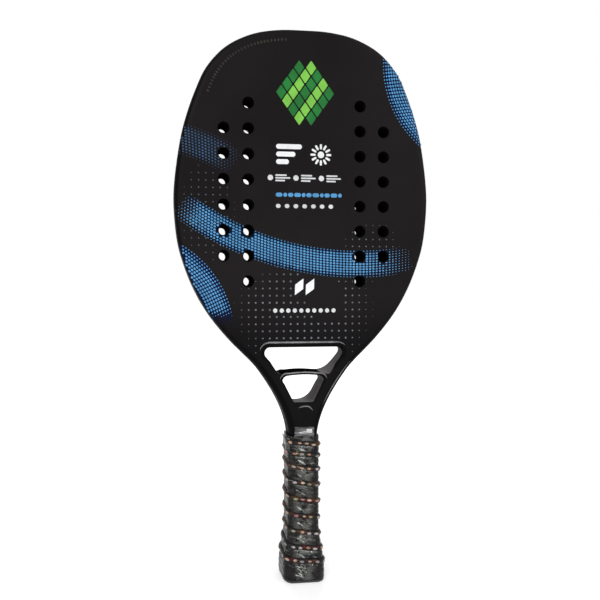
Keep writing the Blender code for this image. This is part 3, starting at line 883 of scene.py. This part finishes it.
def on_face(x, z, radius):
    """True where a mark of that radius lies on the face, clear of holes and openings."""
    if abs(x) > PRINT_HALF_WIDTH or z < PRINT_LOW:
        return False
    point = np.array([x, z])
    gaps = norm(EDGE_LINE - point, axis=1)
    nearest = EDGE_LINE[gaps.argmin()]
    if (point - nearest) @ (nearest - HEAD_MIDDLE) > 0 or gaps.min() < radius + EDGE_MARGIN:
        return False
    if (norm(HOLES - point, axis=1) < HOLE_RADIUS + radius + HOLE_MARGIN).any():
        return False
    return clear_of_throat(x, z, radius)


def turned(x, z, angle, corners):
    """Corners turned by the angle and moved to (x, z)."""
    c, s = cos(angle), sin(angle)
    return np.array([(x + a * c - b * s, z + a * s + b * c) for a, b in corners])


def lozenge(x, z, long_half, short_half, angle):
    return turned(x, z, angle, [(long_half, 0), (0, short_half), (-long_half, 0), (0, -short_half)])


def bar(x, z, long_half, short_half, angle=0.0):
    """Bar with cut corners along the angle."""
    cut = short_half * 0.6
    half = [(long_half, short_half - cut), (long_half - cut, short_half),
            (cut - long_half, short_half), (-long_half, short_half - cut)]
    return turned(x, z, angle, half + [(-a, -b) for a, b in half])


def band(arcs, start, end, size):
    """Staggered dashes on arcs from start to end in degrees; size(radius, angle) scales each."""
    centre, first, last = arcs
    start, end = radians(start), radians(end)
    marks = []
    for row, radius in enumerate(np.arange(first, last, DASH_ROWS)):
        step = DASH_SPACING / radius
        angle = start + (row % 2) * step / 2
        while angle < end:
            scale = size(radius, angle)
            x = centre[0] + radius * cos(angle)
            z = centre[1] + radius * sin(angle)
            if scale > DASH_LEAST and on_face(x, z, DASH_HALF_LENGTH * scale * 0.7):
                marks.append(bar(x, z, DASH_HALF_LENGTH * scale, DASH_HALF_WIDTH * scale,
                                 angle + pi / 2))
            angle += step
    return marks


def turns_window(angle, *degrees):
    return window(angle, *[radians(degree) for degree in degrees])


def band_marks():
    marks = band(BAND_A, 150, 262, lambda r, a: 1 - 0.5 * smoothstep(r, 0.086, 0.094))
    marks += band(BAND_B, -12, 100, lambda r, a: (1 - 0.5 * smoothstep(r, 0.088, 0.098))
                  * smoothstep(BAND_B[0][1] + r * sin(a), 0.236, 0.250))
    marks += band(BAND_C, 232, 286, lambda r, a: turns_window(a, 232, 238, 270, 286)
                  * window(r, 0.256, 0.264, 0.278, 0.288))
    return marks


def far_band_marks():
    marks = band(BAND_D, 56, 100, lambda r, a: 0.85 * turns_window(a, 54, 66, 86, 100)
                 * window(r, 0.166, 0.176, 0.190, 0.200))
    marks += band(BAND_C, 286, 312,
                  lambda r, a: 0.62 * (1 - smoothstep(a, radians(286), radians(312))))
    return marks


def under_print(x, z):
    """True where another mark of the print lies, so that no dot shows beneath it."""
    for centre, first, last in (BAND_A, BAND_B, BAND_D):
        if first - 0.002 < hypot(x - centre[0], z - centre[1]) < last + 0.002:
            return centre != BAND_B[0] or z > 0.240
    return ((abs(z - 0.2462) < 0.0034 and abs(x) < 0.0315)
            or (abs(z - 0.2676) < 0.0098 and abs(x) < 0.0125))


# Fields of dots: strength, middle, half width and half height, inner and outer limit of the fading
DOT_FIELDS = ((1.0, (0.0, 0.246), (0.070, 0.048), (0.60, 1.1)),
              (0.62, (-0.088, 0.335), (0.030, 0.058), (0.5, 1.1)),
              (0.7, (0.062, 0.300), (0.034, 0.034), (0.5, 1.1)),
              (0.85, (0.0, 0.222), (0.060, 0.034), (0.6, 1.1)))
DOT_PITCH = 0.0064
DOT_LOWEST = 0.1765
DOT_HALF = 0.00092
DOT_LEAST = 0.00025


def dot_marks():
    dots = []
    for i in range(-18, 19):
        for k in range(46):
            x, z = i * DOT_PITCH, DOT_LOWEST + k * DOT_PITCH
            half = DOT_HALF * max(
                strength * (1 - smoothstep(hypot((x - x0) / width, (z - z0) / height), *fading))
                for strength, (x0, z0), (width, height), fading in DOT_FIELDS)
            if half > DOT_LEAST and not under_print(x, z) and on_face(x, z, half):
                dots.append(circle(x, z, half, 8))
    return dots


def emblem_marks(light):
    """Light or dark cells of the emblem, a lozenge of lozenges."""
    cells = []
    for j in range(-3, 4):
        for i in range(-4, 5):
            if (i + j) % 2 or abs(i) + abs(j) > 4 or ((i - j) // 2) % 2 != light:
                continue
            cell = lozenge(0.0004 + i * 0.0055, 0.4420 + j * 0.0075, 0.0067, 0.0046, pi / 2)
            cells.append(rounded_polygon(cell, [0.0007] * 4, 3))
    return cells


def bright_marks():
    """Three bars and a rosette under the emblem."""
    marks = [bar(-0.0262 + half, 0.3935 - 0.0068 * k, half, 0.0022)
             for k, half in enumerate((0.0118, 0.0088, 0.0058))]
    for k in range(12):
        angle = radians(30 * k)
        marks.append(bar(0.0150 + 0.0073 * cos(angle), 0.3868 + 0.0073 * sin(angle),
                         0.0024, 0.0010, angle))
    return marks + [circle(0.0150, 0.3868, 0.0030, 20)]


def white_marks():
    """Three groups of a dot and lines, and two rows of blocks."""
    marks = []
    for k in range(3):
        x = -0.0315 + 0.0235 * k
        marks.append(circle(x, 0.3655, 0.0025, 16))
        marks += [bar(x + 0.0046 + half, 0.3678 - 0.0024 * row, half, 0.00070)
                  for row, half in enumerate((0.0052, 0.0068, 0.0044))]
    marks += [bar(-0.0243 + 0.0081 * k, 0.3402, 0.0021, 0.0018) for k in range(7)]
    return marks + [bar(-0.0270 + 0.0060 * k, 0.2462, 0.0019, 0.0019) for k in range(10)]


def blue_marks():
    marks = []
    x = -0.0265
    for k in range(11):
        half = (0.0030, 0.0017, 0.0024)[k % 3]
        marks.append(bar(x + half, 0.3503, half, 0.0018))
        x += 2 * half + 0.0009
    return marks


def rim_marks():
    """Faint ticks along the edge at the top left."""
    marks = []
    line = EDGE_LINE + EDGE_INWARD * 0.0108
    travelled = 0.0
    for (x, z), along in zip(line, np.diff(line, axis=0)):
        travelled += norm(along)
        if travelled > 0.0019 and -0.092 < x < -0.016 and z > 0.440:
            travelled = 0.0
            marks.append(bar(x, z, 0.00072, 0.0016, atan2(along[1], along[0])))
    return marks


def build_print(inks):
    prints = (("bands", band_marks(), "blue"), ("far_bands", far_band_marks(), "dull_blue"),
              ("dots", dot_marks(), "grey"), ("emblem_light", emblem_marks(1), "light_green"),
              ("emblem_dark", emblem_marks(0), "dark_green"),
              ("marks_bright", bright_marks(), "bright_white"),
              ("marks_white", white_marks(), "white"),
              ("twin", [lozenge(x, 0.2676, 0.0085, 0.0042, radians(62)) for x in (-0.0050, 0.0050)],
               "bright_white"),
              ("marks_blue", blue_marks(), "blue"), ("rim_marks", rim_marks(), "faint"))
    for side, tag in SIDES:
        for name, marks, colour in prints:
            points = np.vstack(marks)
            ends = np.cumsum([len(mark) for mark in marks])
            mesh = bpy.data.meshes.new(name + "_" + tag)
            mesh.from_pydata(at_depth(points, side * print_depth(points)).tolist(), [],
                             [tuple(range(end - len(mark), end)) for end, mark in zip(ends, marks)])
            turn_faces(mesh, lambda face: Vector((0.0, side, 0.0)))
            add_piece(name + "_" + tag, mesh, inks[colour], "face_laminate")


# ---- grip

def section_points(height, extra, count):
    """Points round the handle, evenly spaced, starting at the middle of the front."""
    flare = smoothstep(FLARE_TOP - height, 0.0, FLARE_TOP - FLARE_BOTTOM)
    width = TAPE_HALF_WIDTH + (BUTT_HALF_WIDTH - TAPE_HALF_WIDTH) * flare
    depth = TAPE_HALF_DEPTH + (BUTT_HALF_DEPTH - TAPE_HALF_DEPTH) * flare
    radius = SECTION_ROUNDING * depth + extra
    x, y = width + extra, depth + extra
    outline = rounded_polygon([(-x, -y), (x, -y), (x, y), (-x, y)], [radius] * 4, 8)
    ring = np.vstack([outline, outline[0]])
    steps = norm(np.diff(ring, axis=0), axis=1)
    along = np.concatenate([[0.0], np.cumsum(steps)])
    first_half = len(outline) // 2
    start = np.interp(0.0, outline[:first_half, 0], along[:first_half])
    places = (start + np.arange(count) / count * along[-1]) % along[-1]
    return np.column_stack([np.interp(places, along, ring[:, axis]) for axis in (0, 1)])


def section_frame(height, extra, turn):
    """Point and outward normal on the handle at a turn count (0 at the middle of the front)."""
    count = SECTION_COUNT
    ring = section_points(height, extra, count)
    place = (turn % 1.0) * count
    i = int(place) % count
    t = place - int(place)
    point = ring[i] * (1 - t) + ring[(i + 1) % count] * t
    tangent = unit(ring[(i + 2) % count] - ring[i - 1])
    return np.array([*point, height]), np.array([tangent[1], -tangent[0], 0.0])


def rib_height(turn):
    from_middle = turn - RIB_MIDDLE_TURN
    return RIB_MIDDLE_HEIGHT - RIB_PITCH * (from_middle - RIB_CROWDING * from_middle ** 3)


def rib_distance(height, fraction):
    """Distance in Z from the middle of the nearest rib turn."""
    turns = np.arange(-1, 10) + fraction
    turns = turns[(turns >= RIB_FIRST - 0.02) & (turns <= RIB_LAST + 0.02)]
    return float(np.abs(rib_height(turns) - height).min()) if len(turns) else 1.0


def around(ring, lift, height):
    """Row of points at a height: the ring lifted off the handle."""
    scale = 1 + lift / norm(ring, axis=1)
    return np.column_stack([ring * scale[:, None], np.full(len(ring), height)])


def build_tape(material):
    """Tape with faint waves that swells towards the rib, with a cap at both ends."""
    draw = random.Random(7).uniform
    waves = [(draw(150, 600), draw(2, 9), draw(0, 6.28)) for _ in range(8)]
    fraction = np.arange(TAPE_COUNT) / TAPE_COUNT
    rows = []
    for height in [TAPE_TOP + 0.0001, *np.linspace(TAPE_TOP, TAPE_LOW, 190)]:
        near = np.array([rib_distance(height, part) for part in fraction])
        swell = 0.00035 * np.exp(-(near / 0.0032) ** 2)
        wave = sum(np.sin(a * height + b * 6.283 * fraction + c) for a, b, c in waves) * 0.00003
        rows.append(around(section_points(height, -0.0001, TAPE_COUNT), swell + wave, height))
    rows.insert(0, rows[0] * TAPE_CAP)
    mesh = grid_mesh("tape", rows, closed=True, caps=True)
    add_piece("tape", mesh, material, "tape", "grip_tape", "grip_underlay")


def rib_frames(per_turn):
    """Turn, point, outward normal, step ahead and direction across, along the rib."""
    turns = np.linspace(RIB_FIRST, RIB_LAST, int((RIB_LAST - RIB_FIRST) * per_turn) + 1)
    frames = [section_frame(rib_height(turn), 0.0, turn) for turn in turns]
    for i, (point, out) in enumerate(frames):
        ahead = unit(frames[min(i + 1, len(frames) - 1)][0] - frames[max(i - 1, 0)][0])
        yield turns[i], point, out, ahead, np.cross(out, ahead)


def build_rib(material):
    rows = []
    for turn, point, out, _, across in rib_frames(72):
        end = min(turn - RIB_FIRST, RIB_LAST - turn)
        fade = 0.35 + 0.65 * smoothstep(end, 0.0, 0.06)
        wobble = 0.00008 * sin(turn * 37.0) + 0.00006 * sin(turn * 61.0 + 1.0)
        ring = []
        for k in range(14):
            angle = pi * k / 13
            rise = max(0.0, sin(angle)) ** 0.75
            ring.append(point - across * cos(angle) * (RIB_HALF_WIDTH + wobble) * fade
                        + out * (rise * RIB_RISE * fade + 0.0001))
        ring += [point + across * half * 0.6 * fade - out * 0.0004
                 for half in (RIB_HALF_WIDTH, -RIB_HALF_WIDTH)]
        rows.append(ring)
    mesh = grid_mesh("rib", rows, closed=True, caps=True)
    add_piece("rib", mesh, material, "stitched_rib", "grip_rib")


def stitch(point, out, ahead, across, half_length, half_width):
    """Flattened oval that lies on the crest of the rib."""
    angles = np.arange(12) * 2 * pi / 12
    rows = []
    for t in np.linspace(-1, 1, 9):
        width = half_width * sqrt(max(0.0, 1 - (t * 0.95) ** 2))
        rise = (RIB_RISE - 0.00005 + width * 0.55 * np.sin(angles)
                - 0.0003 * np.cos(angles) ** 2 - 0.0002 * t * t)
        rows.append(point + ahead * t * half_length + np.outer(width * np.cos(angles), across)
                    + np.outer(rise, out))
    return grid_mesh("stitch", rows, closed=True, caps=True)


def build_stitches(materials):
    """Stitches along the rib, in threads of several colours; the palest are a painted highlight."""
    frames = list(rib_frames(240))
    groups = [[] for _ in materials]
    rng = random.Random(11)
    draw = rng.uniform
    travelled = 0.0
    due = STITCH_SPACING * 0.62
    for i in range(1, len(frames) - 4):
        travelled += norm(frames[i][1] - frames[i - 1][1])
        if travelled < due:
            continue
        due += STITCH_SPACING * draw(0.90, 1.10)
        _, point, out, ahead, across = frames[i]
        half_length = draw(0.00185, 0.00235)
        half_width = draw(0.00112, 0.00138)
        place = point + across * draw(-0.0004, 0.0004)
        mesh = stitch(place, out, ahead, across, half_length, half_width)
        groups[rng.choice((0, 0, 1, 1, 2, 2, 2, 3, 4))].append(mesh)
    for k, (meshes, material) in enumerate(zip(groups, materials)):
        add_piece("stitches_%d" % (k + 1), meshes, material, "stitched_rib")


def crease(points, width):
    """Whitened ridge of the film through points of (fraction of a turn, height)."""
    places, outs = [], []
    for fraction, height in catmull_rom(points, 6):
        point, out = section_frame(height, 0.0, fraction)
        near = rib_distance(height, fraction % 1.0)
        lift = 0.00052 + 0.0015 * (1 - smoothstep(near, 0.0012, 0.0034))
        lift += 0.0006 * (1 - smoothstep(height, 0.012, 0.022))
        outs.append(out)
        places.append(point + out * lift)
    rows = []
    last = len(places) - 1
    for i, (place, out) in enumerate(zip(places, outs)):
        across = np.cross(out, unit(places[min(i + 1, last)] - places[max(i - 1, 0)]))
        half = width * sin(pi * (0.04 + 0.92 * i / last)) ** 0.7
        rows.append([place + across * half * cos(a) + out * 0.6 * half * sin(a)
                     for a in np.arange(8) * pi / 4])
    return grid_mesh("crease", rows, closed=True, caps=True)


# Pairs of creases on the flared butt: fraction of a turn, height, fall
BUTT_CREASES = ((-0.030, 0.0168, 0.004), (-0.048, 0.0150, 0.005), (-0.016, 0.0132, 0.003),
                (-0.040, 0.0108, 0.004), (-0.058, 0.0090, 0.002), (-0.026, 0.0078, 0.002))
# Long creases that fall to the right across two turns of the rib: turn, first fraction
LONG_CREASES = ((1, -0.086), (2, -0.078))


def build_creases(bright_material, faint_material):
    """Zigzag folds of the film down the front, smaller ones all round."""
    rng = random.Random(21)
    draw = rng.uniform
    bright, faint = [], []

    def fold(group, high, drop, stops, least, most):
        """Crease through (fraction, share of the drop), of a random width."""
        path = [(fraction, high - share * drop) for fraction, share in stops]
        group.append(crease(path, draw(least, most)))

    for turn in range(-1, 9):
        top = TAPE_TOP - 0.002 if turn < 0 else rib_height(turn) - RIB_HALF_WIDTH
        low = max(CREASE_LOW, rib_height(turn + 1) + RIB_HALF_WIDTH)
        gap = top - low
        if gap < 0.003:
            continue
        for part in range(max(1, round(gap / 0.011))):
            high = top - part * 0.0085
            drop = min(gap, 0.0100) * draw(0.92, 1.05)
            left = draw(-0.088, -0.066)
            right = draw(-0.012, 0.008)
            middle = (left + right) / 2
            wave = draw(-0.05, 0.05)
            fold(bright, high, drop, [(left, 0.36), (middle - 0.016, 0.50 + wave),
                                      (middle + 0.012, 0.70 + wave), (right, 0.88)], 0.0007, 0.0010)
            reach = draw(0.010, 0.048)
            fold(faint, high, drop, [(left + 0.022, 0.30), (middle, 0.20 + wave),
                                     (reach, 0.34 - wave)], 0.0005, 0.0007)
            if rng.random() < 0.6:
                place = draw(-0.045, -0.030)
                fold(bright, high, drop, [(place + 0.018, 0.05), (place, 0.16),
                                          (place + 0.006, 0.30)], 0.00050, 0.00075)
            for _ in range(5):
                start = draw(-0.12, 0.07)
                level = high - draw(0.1, 0.95) * drop
                path = [(start, level), (start + 0.02, level + draw(-0.0005, 0.0005)),
                        (start + draw(0.03, 0.05), level - draw(0.0, 0.0015))]
                faint.append(crease(path, draw(0.00028, 0.00045)))
        for _ in range(9):
            start, high = draw(0.12, 0.88), draw(low, top)
            reach, fall = draw(0.02, 0.07), draw(-0.003, 0.003)
            path = [(start + share * reach, min(max(high + rise * fall, low), top))
                    for share, rise in ((0.0, 0.0), (0.5, 0.6), (1.0, 1.0))]
            faint.append(crease(path, draw(0.00018, 0.00034)))
    for place, high, fall in BUTT_CREASES:
        fold(bright, high, fall, [(place - 0.020, 0.0), (place, 0.35), (place + 0.022, 1.0)],
             0.0006, 0.0009)
        fold(faint, high, fall, [(place + 0.030, 0.0), (place + 0.014, 0.5), (place, 1.1)],
             0.0005, 0.0007)
    for turn, first in LONG_CREASES:
        high = rib_height(turn) + RIB_HALF_WIDTH
        path = [(first, high), (first + 0.045, high - 0.0021), (first + 0.085, high - 0.0036)]
        bright.append(crease(path, 0.00075))
    add_piece("creases_bright", bright, bright_material, "clear_film")
    add_piece("creases_faint", faint, faint_material, "clear_film")


def film_folds():
    """Soft folds of the film: fraction and height of both ends, rise, half width."""
    draw = random.Random(21).uniform
    folds = []
    for turn in range(9):
        top = rib_height(turn) - RIB_HALF_WIDTH - 0.0006
        low = max(0.0055, rib_height(turn + 1) + RIB_HALF_WIDTH + 0.0006)
        for _ in range(20):
            fraction, height = draw(0.0, 1.0), draw(low, top)
            folds.append((fraction, height, fraction + draw(-0.05, 0.05),
                          height + draw(-0.0035, 0.0035),
                          draw(0.00010, 0.00024), draw(0.0005, 0.0010)))
    return folds


def build_film(material):
    """Clear film over the tape, under the rib: folded between the rib's turns."""
    folds = film_folds()
    fraction = np.arange(FILM_COUNT) / FILM_COUNT
    rows = []
    for height in np.linspace(FILM_TOP, FILM_LOW, 400):
        near = np.array([rib_distance(height, part) for part in fraction])
        loose = smoothstep(near, 0.0018, 0.0046)
        lift = 0.00006 + 0.00014 * loose
        for f0, z0, f1, z1, rise, half in folds:
            if not min(z0, z1) - 3 * half <= height <= max(z0, z1) + 3 * half:
                continue
            line = np.array([(f1 - f0) * FILM_ROUND, z1 - z0])
            x, z = ((fraction - f0 + 0.5) % 1.0 - 0.5) * FILM_ROUND, height - z0
            t = np.clip((x * line[0] + z * line[1]) / (line @ line), 0.0, 1.0)
            gap = np.hypot(x - t * line[0], z - t * line[1])
            lift = lift + rise * loose * np.exp(-(gap / half) ** 2)
        slow = 0.00008 * np.sin(6.283 * (3 * fraction + height * 190)) * loose
        rows.append(around(section_points(height, 0.0002, FILM_COUNT), lift + slow, height))
    add_piece("film", grid_mesh("film", rows, closed=True), material, "clear_film", "grip_film")


def add_sheet(name, rows, material, *nodes):
    """Loose sheet of film with a thickness."""
    item = add_piece(name, grid_mesh(name, rows), material, "clear_film", *nodes)
    item.modifiers.new("thickness", "SOLIDIFY").thickness = FILM_THICKNESS


def build_tab(material):
    """Clear tab on the neck that holds the end of the film; it has crept into level creases."""
    draw = random.Random(5).uniform
    creases = [(draw(0.1318, 0.1404), draw(-0.0004, 0.0004), draw(0.00012, 0.00028),
                draw(0.0004, 0.0008), draw(0, 6.28)) for _ in range(9)]
    x, z = np.meshgrid(np.linspace(-TAB_HALF_WIDTH, TAB_HALF_WIDTH, 80),
                       np.linspace(TAB_LOW, TAB_HIGH, 60))
    rise = np.zeros_like(x)
    for middle, lean, height, half, phase in creases:
        line = middle + lean * x / TAB_HALF_WIDTH + 0.0003 * np.sin(x * 700 + phase)
        rise += height * np.exp(-((z - line) / half) ** 2)
    edge = np.minimum(TAB_HALF_WIDTH - np.abs(x), np.minimum(z - TAB_LOW, TAB_HIGH - z))
    y = (-HALF_DEPTH - TAB_LIFT - rise * smoothstep(edge, 0.0, 0.0008)
         + 0.0002 * smoothstep(-edge, -0.0005, 0.0))
    add_sheet("tab", np.dstack([x + 0.0002 * np.sin(z * 2500), y, z]), material, "film_tab")


def build_flap(material):
    """Loose upper edge of the film that stands off the left side of the grip, crumpled."""
    draw = random.Random(4).uniform
    lumps = [(draw(0, 1), draw(0, 1), draw(0.08, 0.18), draw(-0.0006, 0.0007))
             for _ in range(16)]
    rows = []
    for t in np.arange(33) / 32:
        row = []
        for u in np.arange(37) / 36:
            height = 0.1160 + 0.0168 * t - 0.003 * u * t + 0.0005 * sin(13 * u + 2)
            point, out = section_frame(height, 0.0012, -0.31 + 0.17 * u)
            lift = 0.0014 * t * sin(pi * min(1.0, 0.2 + u))
            for lump_t, lump_u, half, rise in lumps:
                lift += rise * exp(-((t - lump_t) ** 2 + (u - lump_u) ** 2) / half ** 2)
            row.append(point + out * max(lift, 0.0))
        rows.append(row)
    add_sheet("film_flap", rows, material)


# ---- everything

def finish_nodes(names, material):
    """Gives CAD nodes that stay a better material."""
    for name in names:
        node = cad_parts[name]
        for mesh_slot in node.material_slots:
            mesh_slot.material = material
        if not node.material_slots:
            node.data.materials.append(material)


# Inks: colour, and how dark their patches are
INKS = {
    "blue": ((0.085, 0.290, 0.560), 0.72), "dull_blue": ((0.030, 0.085, 0.180), 0.6),
    "white": ((0.62, 0.63, 0.64), 0.80), "grey": ((0.125, 0.140, 0.158), 0.5),
    "light_green": ((0.190, 0.520, 0.070), 0.82), "dark_green": ((0.013, 0.180, 0.032), 0.7),
    "bright_white": ((0.78, 0.79, 0.80), 0.88), "faint": ((0.052, 0.055, 0.044), 0.7),
}
# Thread colours; the palest, pinkish white, is a painted highlight on the stitches.
THREADS = {"copper": (0.37, 0.19, 0.105), "peach": (0.46, 0.29, 0.20), "pale_highlight": (0.34, 0.30, 0.30),
           "olive": (0.20, 0.20, 0.085), "rose": (0.38, 0.14, 0.14)}


def main():
    add_camera()
    add_world(WORLD_LEVEL)
    add_floor()
    for lamp in LAMPS:
        add_lamp(*lamp)

    rim = mottled("rim_lacquer", (0.0030, 0.0028, 0.0032), 0.42, 0.014, (60.0, 4.0, 0.3, 0.7),
                  ((0.0018, 0.0017, 0.0020), (0.0038, 0.0034, 0.0038)), (420.0, 2.0, 0.05),
                  Roughness=(180.0, 2.0, 0.3, 0.7, 0.36, 0.50))
    # Black with no shine, inside the holes; on the bar's level faces it is painted shade
    core = mottled("hole_wall", (0.002, 0.002, 0.0022), 0.6, 0.0, (900.0, 3.0, 0.3, 0.7),
                   ((0.0010, 0.0010, 0.0011), (0.0034, 0.0032, 0.0034)), (900.0, 3.0, 0.2))
    # Pale lacquer on the beads and the arc: painted highlight lines
    lip = mottled("lip_painted_highlight", (0.06, 0.06, 0.062), 0.30, 0.5, (130.0, 3.0, 0.35, 0.65),
                  ((0.050, 0.050, 0.052), (0.108, 0.108, 0.112)), (500.0, 2.0, 0.06))
    tape = mottled("tape_surface", (0.008, 0.008, 0.009), 0.5, 0.06, (110.0, 3.0, 0.35, 0.65),
                   ((0.004, 0.0045, 0.006), (0.014, 0.016, 0.014)), (1200.0, 4.0, 0.10, 0.0003),
                   Roughness=(1200.0, 4.0, 0.3, 0.7, 0.42, 0.62))
    build_body(rim, face_finish(), wall_finish(), core)
    build_lips(lip)
    build_crescent(lip)
    build_print({name: ink(name, *look) for name, look in INKS.items()})
    build_tape(tape)
    build_rib(rib_finish())
    build_stitches([thread(*look) for look in THREADS.items()])
    # The film's last colour is its painted sheen down the middle of the front.
    build_film(film_finish("clear_film", (0.74, 0.92), (0.005, 0.005, 0.006),
                           ((0.013, 0.016, 0.010), (0.016, 0.012, 0.015)), 0.2,
                           (0.105, 0.108, 0.100)))
    # The folds' pale colours are painted highlights.
    build_creases(crease_highlight("crease_bright", (0.12, 0.125, 0.12), (0.56, 0.58, 0.55)),
                  crease_highlight("crease_faint", (0.030, 0.034, 0.030), (0.160, 0.170, 0.155)))
    build_tab(tab_finish())
    # The flap's last colour is a painted sheen as well.
    build_flap(film_finish("flap_film", (0.78, 0.95), (0.050, 0.055, 0.050),
                           ((0.170, 0.180, 0.170), (0.110, 0.115, 0.108)), 0.3, (0.12, 0.12, 0.12)))
    finish_nodes(["butt_cap", "butt_plug"], plastic("cap_plastic", (0.008, 0.008, 0.009), 0.45))
    finish_nodes(["staple_front", "staple_back"], plastic("staple_steel", (0.5, 0.5, 0.5), 0.3))
    finish_nodes(["leg_filler"], plastic("filler", (0.3, 0.27, 0.2), 0.8))

    bpy.context.scene.view_settings.view_transform = "Standard"


main()
